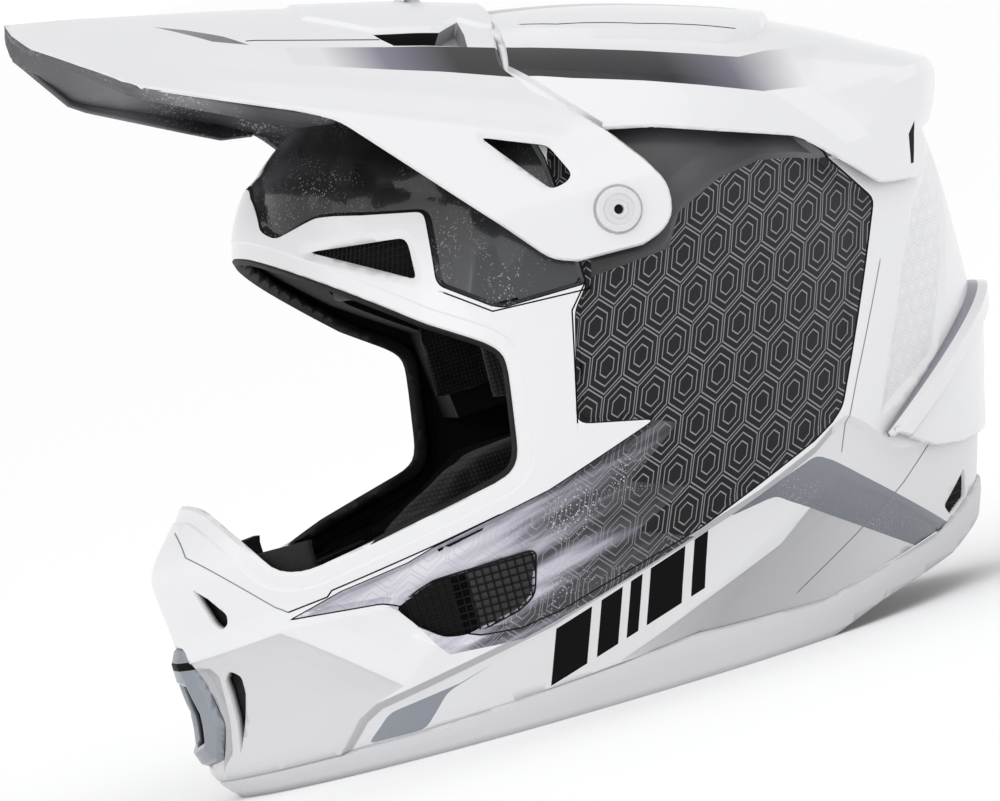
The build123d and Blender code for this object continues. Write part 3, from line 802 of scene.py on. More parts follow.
@dataclass(frozen=True)
class Relief:
    """Height of a surface as it nears an outline: pairs of distance and height."""

    outline: Outline
    steps: Points


@dataclass(frozen=True)
class Paint:
    """A finish for the faces between two distances inside an outline."""

    outline: Outline
    finish: Finish
    start: float = 0.0
    end: float = UNBOUNDED


# ---- meshes -------------------------------------------------------------------------------
def places_of(verts: Iterable[bmesh.types.BMVert]) -> np.ndarray:
    """Collect vertex places, one row each."""
    return np.array([v.co[:] for v in verts], float).reshape(-1, 3)


def finish_mesh(
    bm: bmesh.types.BMesh,
    name: str,
    finishes: Sequence[Finish],
    body: str,
    sharp_degrees: float = 32.0,
    recalculate: bool = True,
) -> bpy.types.Object:
    """Turn a bmesh in millimetres into a finished object that rides on a body.

    Args:
        bm: The mesh; it is freed.
        name: Name of the object.
        finishes: Finish of each material index.
        body: Body that the object moves with.
        sharp_degrees: Edges that bend more than this stay crisp.
        recalculate: Whether normals are made to point outwards.

    Returns:
        The object.
    """
    bmesh.ops.remove_doubles(bm, verts=bm.verts[:], dist=0.004)
    if recalculate:
        bmesh.ops.recalc_face_normals(bm, faces=bm.faces[:])
    bmesh.ops.scale(bm, vec=(MM, MM, MM), verts=bm.verts[:])
    limit = math.radians(sharp_degrees)
    for face in bm.faces:
        face.smooth = True
    for edge in bm.edges:
        edge.smooth = not edge.is_manifold or edge.calc_face_angle(0.0) < limit
    mesh = bpy.data.meshes.new(name)
    bm.to_mesh(mesh)
    bm.free()
    piece = bpy.data.objects.new(name, mesh)
    bpy.context.scene.collection.objects.link(piece)
    for finish in finishes:
        mesh.materials.append(finish.build())
    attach(piece, body)
    LOG.info("%s: %d faces on %s", name, len(mesh.polygons), body)
    return piece


def thicken(piece: bpy.types.Object, wall: float, inside: Finish | None = None, rim: bool = False) -> None:
    """Give a sheet its wall on the inner side.

    Args:
        piece: The sheet.
        wall: Thickness in millimetres.
        inside: Finish of the inner face, if it isn't that of the outer one.
        rim: Whether the edges take the inner finish too.
    """
    solid = piece.modifiers.new("wall", "SOLIDIFY")
    solid.thickness = wall * MM
    solid.offset = -1
    if inside:
        piece.data.materials.append(inside.build())
        solid.material_offset = len(piece.data.materials)
        solid.material_offset_rim = len(piece.data.materials) if rim else 0


class Sheet:
    """The left half of a curved surface, cut and shaped by outlines and then mirrored."""

    def __init__(self, across: int, along: int) -> None:
        """Start from a flat grid.

        Args:
            across: Faces across the sheet.
            along: Faces along it.
        """
        self.bm = bmesh.new()
        bmesh.ops.create_grid(self.bm, x_segments=across, y_segments=along, size=0.5)
        flat = places_of(self.bm.verts)
        self.u, self.v = flat[:, 0] + 0.5, flat[:, 1] + 0.5

    def place(self, points: np.ndarray) -> None:
        """Move each vertex of the fresh grid to its place on the surface."""
        for vert, point in zip(self.bm.verts, points):
            vert.co = point
        self.bm.normal_update()
        self.outward = self.bm.verts.layers.float_vector.new("outward")
        for vert in self.bm.verts:
            normal = vert.normal.copy()
            if abs(vert.co.x) < 1e-3:
                normal.x = 0
            vert[self.outward] = normal.normalized()

    def imprint(self, outline: Outline, offsets: Sequence[float]) -> None:
        """Cut the surface along an outline and along lines beside it.

        Args:
            outline: The outline.
            offsets: Distances inside it.
        """
        near = outline.distance(np.array([f.calc_center_median()[:] for f in self.bm.faces]))
        widest = max(abs(o) for o in offsets)
        margin = widest + CUT_MARGIN
        pool = [f for f, d in zip(self.bm.faces, near) if abs(d) < widest + POOL_MARGIN]
        known = set(pool)
        axes = outline.view.value
        spots = np.array([f.calc_center_median()[:] for f in pool]).reshape(-1, 3)[:, axes]
        sign = 1 if not outline.closed or outline.turns_left() else -1
        both = sorted({s * o for o in offsets for s in ((1, -1) if not outline.closed else (1,))})
        for (ax, ay), (bx, by) in outline.segments():
            length = math.hypot(bx - ax, by - ay)
            if length < 0.05:
                continue
            ux, uy = (bx - ax) / length, (by - ay) / length
            faces = []
            span = np.array([bx - ax, by - ay])
            part = np.clip(((spots - (ax, ay)) @ span) / (span @ span), 0, 1)
            gap = np.hypot(spots[:, 0] - ax - part * span[0], spots[:, 1] - ay - part * span[1])
            for face in (pool[i] for i in np.flatnonzero(gap < margin + LOOK_MARGIN)):
                spans = [(v.co[axes[0]] - ax, v.co[axes[1]] - ay) for v in face.verts]
                runs = [x * ux + y * uy for x, y in spans]
                sides = [x * -uy + y * ux for x, y in spans]
                if max(runs) > -margin and min(runs) < length + margin:
                    if max(sides) > -margin - 1 and min(sides) < margin + 1:
                        faces.append(face)
            normal = [0.0, 0.0, 0.0]
            normal[axes[0]], normal[axes[1]] = -uy * sign, ux * sign
            for offset in both:
                origin = [0.0, 0.0, 0.0]
                origin[axes[0]], origin[axes[1]] = ax - uy * sign * offset, ay + ux * sign * offset
                edges = {e for f in faces for e in f.edges}
                cut = bmesh.ops.bisect_plane(
                    self.bm, geom=faces + list(edges), dist=0.02, plane_co=origin, plane_no=normal
                )
                faces = [g for g in cut["geom"] if isinstance(g, bmesh.types.BMFace)]
                fresh = [f for f in faces if f not in known]
                if fresh:
                    known.update(fresh)
                    pool += fresh
                    places = np.array([f.calc_center_median()[:] for f in fresh])
                    spots = np.concatenate([spots, places[:, axes]])

    def keep(self, outline: Outline, outside: bool = False) -> None:
        """Drop the faces outside an outline, or those inside it."""
        faces = self.bm.faces[:]
        inside = outline.distance(np.array([f.calc_center_median()[:] for f in faces])) > 0
        drop = [f for f, i in zip(faces, inside) if bool(i) == outside]
        bmesh.ops.delete(self.bm, geom=drop, context="FACES")

    def normals(self) -> np.ndarray:
        """Read the outward direction that each vertex kept from the uncut surface."""
        rows = np.array([v[self.outward][:] for v in self.bm.verts], float)
        on_line = np.array([abs(v.co.x) < 1e-3 for v in self.bm.verts])
        rows[on_line, 0] = 0
        return rows / np.maximum(np.linalg.norm(rows, axis=1, keepdims=True), TINY)

    def raise_by(self, heights: np.ndarray) -> None:
        """Move each vertex outwards by its height."""
        for vert, normal, height in zip(self.bm.verts, self.normals(), heights):
            vert.co += Vector(normal) * float(height)

    def paint(self, paints: Sequence[Paint], finishes: list[Finish]) -> None:
        """Give faces their finish; a later paint covers an earlier one."""
        centres = np.array([f.calc_center_median()[:] for f in self.bm.faces])
        index = np.zeros(len(centres), int)
        for paint in paints:
            if paint.finish not in finishes:
                finishes.append(paint.finish)
            inside = paint.outline.distance(centres)
            index[(inside > paint.start) & (inside < paint.end)] = finishes.index(paint.finish)
        for face, number in zip(self.bm.faces, index):
            face.material_index = int(number)

    def mirror(self) -> None:
        """Copy the left half to the right and join them."""
        for vert in self.bm.verts:
            if abs(vert.co.x) < 2e-3:
                vert.co.x = 0
        geometry = self.bm.verts[:] + self.bm.edges[:] + self.bm.faces[:]
        bmesh.ops.mirror(self.bm, geom=geometry, matrix=Matrix.Identity(4), merge_dist=0.003, axis="X")


def form_sheet(form: LevelForm, step: float, low: float, high: float, angles: Point = (0.0, math.pi)) -> Sheet:
    """Lay a grid over the left half of a form between two heights.

    Args:
        form: The form.
        step: Size of a face.
        low: Lowest height.
        high: Greatest height.
        angles: First and last angle, from the front to the rear.

    Returns:
        The sheet.
    """
    heights = np.linspace(low, high, HEIGHT_SAMPLES)
    width = form.column(heights, 3)
    run = np.concatenate([[0], np.cumsum(np.hypot(np.diff(heights), np.diff(width) * WIDTH_SHARE))])
    across = max(8, int((angles[1] - angles[0]) * MEAN_RADIUS / step))
    sheet = Sheet(across, max(4, int(run[-1] / step)))
    height = np.interp(sheet.v * run[-1], run, heights)
    sheet.place(form.points(angles[0] + sheet.u * (angles[1] - angles[0]), height))
    return sheet


def shape_sheet(
    sheet: Sheet,
    name: str,
    base: Finish,
    body: str,
    keep: Sequence[Outline] = (),
    holes: Sequence[Outline] = (),
    reliefs: Sequence[Relief] = (),
    paints: Sequence[Paint] = (),
    lift: float = 0.0,
    wall: float = 3.0,
    bend: Callable[[np.ndarray], np.ndarray] | None = None,
    inside: Finish | None = None,
    rim: bool = False,
) -> bpy.types.Object:
    """Cut, shape, paint, mirror and thicken a half sheet.

    Args:
        sheet: The half sheet.
        name: Name of the piece.
        base: Finish where nothing is painted.
        body: Body that it moves with.
        keep: Outlines that bound the piece.
        holes: Outlines that are cut out.
        reliefs: Raised and sunk features.
        paints: Painted areas.
        lift: Height of the whole piece above the form.
        wall: Thickness.
        bend: Shift of each place, worked out from where it is.
        inside: Finish of the inner face.
        rim: Whether the edges take that finish too.

    Returns:
        The piece.
    """
    for outline in list(keep) + list(holes):
        sheet.imprint(outline, [0.0])
    for outline in keep:
        sheet.keep(outline)
    for outline in holes:
        sheet.keep(outline, outside=True)
    for relief in reliefs:
        sheet.imprint(relief.outline, [d for d, _ in relief.steps])
    for paint in paints:
        sheet.imprint(paint.outline, [d for d in (paint.start, paint.end) if abs(d) < UNBOUNDED])
    finishes = [base]
    sheet.paint(paints, finishes)
    places = places_of(sheet.bm.verts)
    heights = np.full(len(places), lift)
    for relief in reliefs:
        distances, rises = zip(*relief.steps)
        heights += np.interp(relief.outline.distance(places), distances, rises)
    sheet.raise_by(heights)
    if bend:
        for vert, shift in zip(sheet.bm.verts, bend(places)):
            vert.co += Vector(shift)
    sheet.mirror()
    piece = finish_mesh(sheet.bm, name, finishes, body)
    thicken(piece, wall, inside, rim)
    return piece


# ---- studio -------------------------------------------------------------------------------
@dataclass(frozen=True)
class Studio:
    """Camera, floor and lights."""

    distance: float = 4000.0
    focal: float = 378.9
    sensor: float = 36.0
    target: tuple[float, float, float] = (60.0, -33.0, 120.5)
    right: tuple[float, float, float] = (0.17365, 0.94377, -0.28135)
    back: tuple[float, float, float] = (0.98481, -0.16641, 0.04961)
    floor_radius: float = 60000.0
    sun_place: tuple[float, float, float] = (0.35, -0.3, 1.0)
    sun_power: float = 1.25
    sun_degrees: float = 100.0

    def aim(self) -> None:
        """Set the camera square to the left side, turned and rolled a little."""
        data = bpy.data.cameras.new("studio_camera")
        data.sensor_width = self.sensor
        data.lens = self.focal
        data.clip_start, data.clip_end = 0.1, 200.0
        camera = bpy.data.objects.new("studio_camera", data)
        bpy.context.scene.collection.objects.link(camera)
        right, back = Vector(self.right).normalized(), Vector(self.back).normalized()
        up = back.cross(right).normalized()
        camera.matrix_world = Matrix.Translation((Vector(self.target) + back * self.distance) * MM) @ Matrix(
            (right, up, back)
        ).transposed().to_4x4()
        bpy.context.scene.camera = camera

    def light(self, name: str, place: tuple[float, float, float], size: float, power: float) -> None:
        """Hang one square soft light that faces the helmet.

        Args:
            name: Name of the light.
            place: Where it hangs, in metres.
            size: Side of the square, in metres.
            power: Watts.
        """
        data = bpy.data.lights.new(name, "AREA")
        data.size, data.energy = size, power
        lamp = bpy.data.objects.new(name, data)
        lamp.location = place
        lamp.rotation_mode = "QUATERNION"
        lamp.rotation_quaternion = (Vector(place) - Vector((0, 0, 0.14))).to_track_quat("Z", "Y")
        bpy.context.scene.collection.objects.link(lamp)

    def build(self) -> None:
        """Set up the floor, the world and the lights."""
        scene = bpy.context.scene
        scene.view_settings.view_transform = "Standard"
        world = bpy.data.worlds.new("studio_world")
        scene.world = world
        world.use_nodes = True
        sky = world.node_tree
        way = add_node(sky, "ShaderNodeSeparateXYZ", {0: add_node(sky, "ShaderNodeTexCoord").outputs["Generated"]})
        glow = add_node(sky, "ShaderNodeMapRange", {0: way.outputs[2], 1: 0.08, 2: 0.6, 3: 1.03, 4: 0.62})
        sky.links.new(glow.outputs[0], sky.nodes["Background"].inputs[1])
        sky.nodes["Background"].inputs[0].default_value = (0.985, 0.99, 1.0, 1)
        bm = bmesh.new()
        bmesh.ops.create_circle(bm, cap_ends=True, segments=96, radius=self.floor_radius * MM)
        mesh = bpy.data.meshes.new("studio_floor")
        bm.to_mesh(mesh)
        bm.free()
        floor = bpy.data.objects.new("studio_floor", mesh)
        scene.collection.objects.link(floor)
        material = bpy.data.materials.new("matt_white_paper")
        material.use_nodes = True
        shader = material.node_tree.nodes["Principled BSDF"]
        shader.inputs["Base Color"].default_value = linear("F4F4F4")
        shader.inputs["Roughness"].default_value = 0.9
        shader.inputs["Specular IOR Level"].default_value = 0.0
        shader.inputs["Emission Color"].default_value = (1, 1, 1, 1)
        shader.inputs["Emission Strength"].default_value = 0.05
        mesh.materials.append(material)
        sun = bpy.data.objects.new("key_sun", bpy.data.lights.new("key_sun", "SUN"))
        sun.data.energy, sun.data.angle = self.sun_power, math.radians(self.sun_degrees)
        sun.rotation_mode = "QUATERNION"
        sun.rotation_quaternion = Vector(self.sun_place).to_track_quat("Z", "Y")
        scene.collection.objects.link(sun)
        self.light("fill_side", (2.0, -1.6, 0.7), 0.9, 3.0)
        self.light("rim_rear", (-0.6, 1.9, 1.2), 1.2, 3.0)


# ---- shell --------------------------------------------------------------------------------
@dataclass(frozen=True)
class Shell:
    """Moulded and painted outer shell with its bands, vents and joints."""

    face: float = 4.0
    wall: float = 3.0
    wire_pitch: float = 2.9
    port: Points = (
        (-230, 117), (-151, 115), (-146, 104), (-136, 83), (-126, 80), (-90, 87), (-47, 95.5), (-42, 101),
        (-38, 125), (-36, 138), (-40, 144), (-60, 158), (-106, 198), (-114, 203), (-230, 203),
    )
    rim: Points = (
        (-230, 7), (-90, 10), (6, 17), (60, 14), (82, 18), (118, 24), (146, 36), (230, 56), (230, 330), (-230, 330),
    )
    below: Points = ((-230, 0), (58, 0), (82, 7), (120, 14), (147, 25), (230, 45), (230, 330), (-230, 330))
    side_vent: Points = (
        (-99, 58.3), (-83, 63), (-46, 64.5), (-51, 48.5), (-58, 45), (-77, 41), (-84.5, 42.5), (-93, 49),
    )
    brow_vent: Points = ((-89, 196), (-57.4, 192), (-56.2, 189.5), (-57.8, 175.5))
    rear_vent: Points = ((137, 43), (121.6, 32.2), (124.2, 27.6), (135, 32.2))
    panel: Points = (
        (1, 156), (-6, 148), (-17, 109), (-15, 106), (11, 100), (-34, 86), (-80, 77), (-90, 74), (-115, 70),
        (-135, 64), (-101, 61), (-89, 52), (-78, 41.6), (-72, 39.6), (-57, 38.2), (-41, 40.6), (-25, 45), (17, 55.3),
        (39, 63), (70, 74), (79, 78.5), (85, 83),
        (112, 132), (124, 154), (109, 175), (101, 186), (98, 204), (60, 219), (20, 228), (2, 205),
    )
    brow: Points = (
        (-92, 228), (-96, 220), (-99, 207), (-96, 203), (-86, 206), (-82, 207), (-48, 199), (-47, 197), (-51, 173),
        (-50, 170), (-35, 158), (-31, 156), (1, 156), (2, 205), (0, 216), (-12, 228), (-14, 275), (-60, 275),
        (-80, 250),
    )
    lower: Points = (
        (-131, 10), (-121, 21), (-114, 25), (-46, 38), (-33, 42), (44, 63), (69, 72), (80, 78), (86, 80), (93, 74),
        (104, 60), (200, 60), (200, -20), (-131, -20),
    )
    step_line: Points = (
        (-129.5, 8), (-120, 19.7), (-113.5, 23.5), (-46, 36.6), (-32.5, 40.6), (44, 61.6), (69.5, 70.6), (78, 75.5),
    )
    accent_front: Points = ((-121, 10), (-111, 20), (-84, 24), (-70, 28), (-89, 22), (-100, 10))
    accent_rear: Points = (
        (29, 56), (48, 62), (69, 68), (72, 67), (76, 64.5), (125, 23), (111, 17), (54, 55), (50, 58), (46, 58),
    )
    pillar: Points = (
        (156, 161), (140, 146), (127, 127), (109, 93), (99, 74), (133, 90), (151, 122), (162, 146), (164, 166),
    )
    swoosh: Points = (
        (36, 160), (44, 172), (64, 180), (82, 182), (96, 179), (115, 172), (125, 168), (120, 220), (0, 240), (4, 158),
    )
    silver_band: Points = (
        (11, 100), (-34, 86), (-80, 77), (-90, 74), (-115, 70), (-135, 64), (-101, 61), (-93, 49), (-84, 36),
        (-57, 34), (-25, 42), (14, 53), (-6, 61), (16, 72), (-4, 80), (20, 96),
    )
    swoosh_paint: Points = (
        (36, 160), (44, 172), (64, 180), (82, 182), (96, 179), (111, 174), (101, 186), (98, 204), (60, 219),
        (20, 228), (4, 158),
    )
    port_wide: Points = (
        (-230, 114), (-151.5, 112), (-148, 102), (-138, 81), (-126.5, 77.3), (-89.5, 84.4), (-45.5, 93), (-39.5, 100),
        (-35.3, 125), (-33.3, 138.5), (-38, 146), (-58.5, 160), (-104, 200.5), (-113, 206), (-230, 206),
    )
    port_narrow: Points = (
        (-230, 111), (-154, 109.5), (-150.5, 100), (-140.5, 78.5), (-127.5, 75.5), (-104, 84.5), (-90.5, 88.4),
        (-48, 97), (-43.4, 102),
        (-39.4, 125), (-37.5, 137.5), (-41, 143), (-61, 157), (-107, 197), (-114.5, 201.5), (-230, 201.5),
    )
    insert: Points = ((-9, 64), (9, 62), (14, 52), (19, 30), (15, 17), (-9, 14))
    inlet: Points = ((-9, 49), (6, 47), (10, 36), (9, 25), (-9, 21))
    slot: Points = ((26.5, 47), (31, 50), (35, 47), (34, 40), (25, 17.5))
    chin_facet: Points = (
        (-200, 54), (-168.9, 56), (-155.8, 57.8), (-137.5, 60.3), (-120, 45.2), (-102.2, 29.1), (-112, 25.5),
        (-120, 20.5), (-131, 8), (-200, 2),
    )
    chin_front: Points = ((13, 54), (22, 52.5), (24.5, 49), (23, 40), (20.8, 19), (13, 12), (19, 30), (14, 52))
    rear_facet: Points = (
        (-24.7, 15.5), (-8.6, 21.1), (11.2, 28.3), (46.3, 40.4), (60.3, 49.7), (76, 57.7), (99.2, 41.7), (122.4, 21),
        (82, 17.5), (60, 13.5), (6, 16),
    )
    tear: Points = ((28, 84), (34, 79), (39.5, 71.5), (38, 67.5), (34, 66), (31.5, 68.5))
    ridges: tuple[tuple[Points, float, float], ...] = (
        (((-169, 56), (-136, 60), (-102, 30), (-87, 41)), 9.0, 1.4),
        (((-136, 61), (-96, 59)), 7.0, 1.0),
        (((-50, 10), (-8, 21), (61, 50), (77, 57)), 9.0, 1.2),
        (((-41, 8), (-10, 19), (39, 43), (73, 59)), 4.0, 0.4),
        (((-75, 207), (-60, 224), (-38, 211)), 8.0, 1.6),
        (((-40, 166), (-30, 196), (0, 212)), 9.0, 1.8),
    )
    joints: tuple[Points, ...] = (
        ((-134, 67), (-120, 69), (-118, 71), (-76, 78), (-54, 82)),
        ((-50, 168), (-35, 156), (2, 154)),
        ((-17, 107), (-7, 148), (1, 157)),
    )
    joint_half: float = 0.3
    seams: tuple[Points, ...] = (
        ((-160, 105), (-161, 96), (-138, 70), (-134, 67)),
        ((49, 20), (80, 34.6), (96, 42.6), (104.5, 47.2), (120, 57.3), (125.5, 65.6)),
        ((118, 130.4), (108, 114.4), (94.5, 92.6), (85.8, 77.4), (80.5, 66)),
    )
    seam_half: float = 0.24
    bar_runs: Points = ((-52.0, 15.0), (-33.0, 9.0), (-20.5, 5.0), (-12.0, 15.0), (7.0, 6.0))
    bar_low: float = 13.5
    bar_height: float = 20.5
    bar_lean: float = 7.0
    bar_slope: float = 0.3
    grille_depth: float = 3.6
    grille_wire: float = 0.8

    def reliefs(self) -> list[Relief]:
        """List the raised and sunk features."""
        return [
            Relief(Outline(self.port, reach=6.0), ((-7.0, 0.0), (-6.2, -0.6), (-1.5, -0.8), (0.0, -2.0))),
            Relief(Outline(self.panel, reach=3.0), ((0.0, 0.0), (2.2, -2.6))),
            Relief(Outline(self.brow, reach=2.0), ((0.0, 0.0), (1.8, -2.0))),
            Relief(Outline(self.lower, reach=4.0), ((0.0, 0.0), (2.8, -2.0))),
            Relief(Outline(self.pillar, reach=3.0), ((0.0, 0.0), (2.0, -1.2))),
            Relief(Outline(self.side_vent, reach=3.0), ((-3.5, 0.0), (0.0, -1.8))),
            Relief(Outline(self.brow_vent, reach=2.2), ((-3.0, 0.0), (0.0, -1.6))),
            Relief(Outline(self.swoosh, reach=6.0), ((0.0, 0.0), (1.8, 1.3), (12.0, 0.2))),
            Relief(Outline(self.chin_facet), ((0.0, 0.0), (1.0, -0.5), (16.0, -1.8))),
            Relief(Outline(self.chin_front, View.FRONT), ((0.0, 0.0), (2.4, -1.8))),
            Relief(Outline(self.rear_facet), ((0.0, 0.0), (1.0, -0.4), (10.0, -1.0))),
            *[
                Relief(Outline(points, View.SIDE, False), ((-reach, 0.0), (0.0, height)))
                for points, reach, height in self.ridges
            ],
            *[Relief(joint, ((-self.joint_half, 0.0), (0.0, -0.8))) for joint in open_lines(self.joints)],
            *[Relief(seam, ((-self.seam_half, 0.0), (0.0, -0.3))) for seam in open_lines(self.seams)],
        ]

    def bars(self) -> list[Outline]:
        """Lay out the plain slanted bars on the lower body."""
        bars = []
        for start, width in self.bar_runs:
            low = self.bar_low + self.bar_slope * (start - self.bar_runs[0][0])
            high, climb = low + self.bar_height, self.bar_slope * width
            foot = ((start, low), (start + width, low + climb))
            head = ((start + width + self.bar_lean, high + climb), (start + self.bar_lean, high))
            bars.append(Outline(foot + head))
        return bars

    def grille(self, name: str, outline: Outline, node: str) -> None:
        """Set a wire grille in one vent on each side.

        Args:
            name: Which vent it is.
            outline: The vent's outline.
            node: Part that it stands for, without its side.
        """
        for side, mirrored in (("left", False), ("right", True)):
            sheet = form_sheet(SHELL_FORM, self.wire_pitch, 20.0, 206.0)
            wider = Outline(tuple(grown(outline.points, 1.5)), reach=outline.reach)
            sheet.keep(Outline(tuple(grown(outline.points, 6.0))))
            sheet.imprint(wider, [0.0])
            sheet.keep(wider)
            sheet.raise_by(np.full(len(sheet.bm.verts), -self.grille_depth))
            bmesh.ops.remove_doubles(sheet.bm, verts=sheet.bm.verts[:], dist=0.3)
            bmesh.ops.wireframe(
                sheet.bm, faces=sheet.bm.faces[:], thickness=self.grille_wire, offset=0.0, use_replace=True,
                use_boundary=True, use_even_offset=False,
            )
            if mirrored:
                bmesh.ops.scale(sheet.bm, vec=(-1, 1, 1), verts=sheet.bm.verts[:])
            piece = finish_mesh(sheet.bm, f"{name}_vent_grille_{side}", [VENT_BLACK], "helmet")
            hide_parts(f"{node}_{side}")

    def filter(self) -> None:
        """Back the openings of the chin with filter foam."""
        sheet = form_sheet(SHELL_FORM, 3.0, 14.0, 92.0, (0.0, 0.75))
        foam = shape_sheet(sheet, "chin_filter", FILTER_FOAM, "helmet", lift=-6.0, wall=3.0)
        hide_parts("mouthpiece_filter")

    def build(self) -> None:
        """Make the shell, the port bead and the rim band."""
        sheet = form_sheet(SHELL_FORM, self.face, 0.0, 256.0)
        panel, brow = Outline(self.panel, reach=3.0), Outline(self.brow, reach=2.0)
        vents = [
            Outline(self.side_vent, reach=3.0), Outline(self.brow_vent, reach=2.2), Outline(self.rear_vent, reach=1.5),
        ]
        front = [Outline(points, View.FRONT, reach=1.6) for points in (self.insert, self.slot, self.tear)]
        paints = [
            # Painted shade: the lower body takes a greyer white where it turns down away from the light.
            Paint(Outline(self.lower, reach=4.0), BODY_PAINTED_SHADE),
            # Painted shade on the chin facets that turn down.
            Paint(Outline(self.chin_facet), CHIN_PAINTED_SHADE),
            # Painted shade on the sunk channel beside the chin insert and on the rear lower facet that turns down.
            Paint(Outline(self.chin_front, View.FRONT), FACET_PAINTED_SHADE),
            Paint(Outline(self.rear_facet), FACET_PAINTED_SHADE),
            # Painted shade on the downward-facing step below the panel.
            Paint(Outline(self.step_line, View.SIDE, False), STEP_PAINTED_SHADE, -1.4),
            Paint(panel, PANEL_PRINT),
            Paint(Outline(self.silver_band), SILVER_FADE),
            # Charcoal with painted highlight bands on the upper side panel.
            Paint(Outline(self.swoosh_paint), PANEL_PLAIN_PAINTED_HIGHLIGHT),
            Paint(brow, BROW_BLACK),
            # Painted shadow: a black line at the foot of the raised frame's step around the panel and the brow.
            Paint(panel, SEAL_BLACK_AND_PAINTED_SHADOW, 0.0, 0.45),
            Paint(brow, SEAL_BLACK_AND_PAINTED_SHADOW, 0.0, 0.45),
            Paint(Outline(self.pillar, reach=3.0), PILLAR_PRINT, 2.0),
            Paint(Outline(self.accent_front, reach=3.0), ACCENT_GREY),
            Paint(Outline(self.accent_rear, reach=3.0), ACCENT_GREY),
            *[Paint(bar, BAR_BLACK) for bar in self.bars()],
            *[Paint(joint, SEAL_BLACK_AND_PAINTED_SHADOW, -self.joint_half) for joint in open_lines(self.joints)],
            *[Paint(seam, SEAM_GREY, -self.seam_half) for seam in open_lines(self.seams)],
        ]
        shell = shape_sheet(
            sheet, "outer_shell_painted", SHELL_WHITE, "helmet",
            keep=[Outline(self.rim)], holes=[Outline(self.port, reach=6.0), *vents, *front],
            reliefs=self.reliefs(), paints=paints, wall=self.wall, inside=SEAL_BLACK_AND_PAINTED_SHADOW,
        )
        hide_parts("outer_shell")
        band = shape_sheet(
            form_sheet(SHELL_FORM, self.face, -1.0, 60.0), "rim_edge_band", RIM_RUBBER, "helmet",
            keep=[Outline(self.below)], holes=[Outline(self.rim)],
            reliefs=[Relief(Outline(self.rim), ((-4.0, 0.0), (-0.9, -0.5), (0.0, -2.0)))],
            wall=4.0,
        )
        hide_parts("base_trim")
        bead = shape_sheet(
            form_sheet(SHELL_FORM, self.face, 70.0, 215.0), "eye_port_bead", PORT_BEAD, "helmet",
            keep=[Outline(self.port_wide, reach=6.0)], holes=[Outline(self.port_narrow, reach=6.0)],
            reliefs=[Relief(Outline(self.port_narrow, reach=6.0), ((-3.2, -2.0), (-1.4, -1.2), (0.0, -2.6)))],
            wall=4.5,
        )
        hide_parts("eyeport_trim")
        insert = shape_sheet(
            form_sheet(SHELL_FORM, 2.2, 10.0, 70.0, (0.0, 0.5)), "front_chin_insert", ACCENT_GREY, "helmet",
            keep=[Outline(self.insert, View.FRONT)], holes=[Outline(self.inlet, View.FRONT)],
            reliefs=[
                Relief(Outline(self.insert, View.FRONT), ((0.0, -1.5), (1.6, 1.2), (6.0, 3.4))),
                Relief(Outline(self.inlet, View.FRONT), ((-2.0, 0.0), (0.0, -1.8))),
            ],
            paints=[Paint(Outline(((-5, 58), (15, 56), (15, 53), (-5, 55)), View.FRONT), BAR_BLACK)],
            wall=2.5,
        )
        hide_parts("mouthpiece")
        for name, outline, node in (
            ("side", vents[0], "side_vent_mesh"), ("brow", vents[1], "brow_vent_mesh"),
            ("rear", vents[2], "rear_vent_mesh"),
        ):
            self.grille(name, outline, node)
        self.filter()


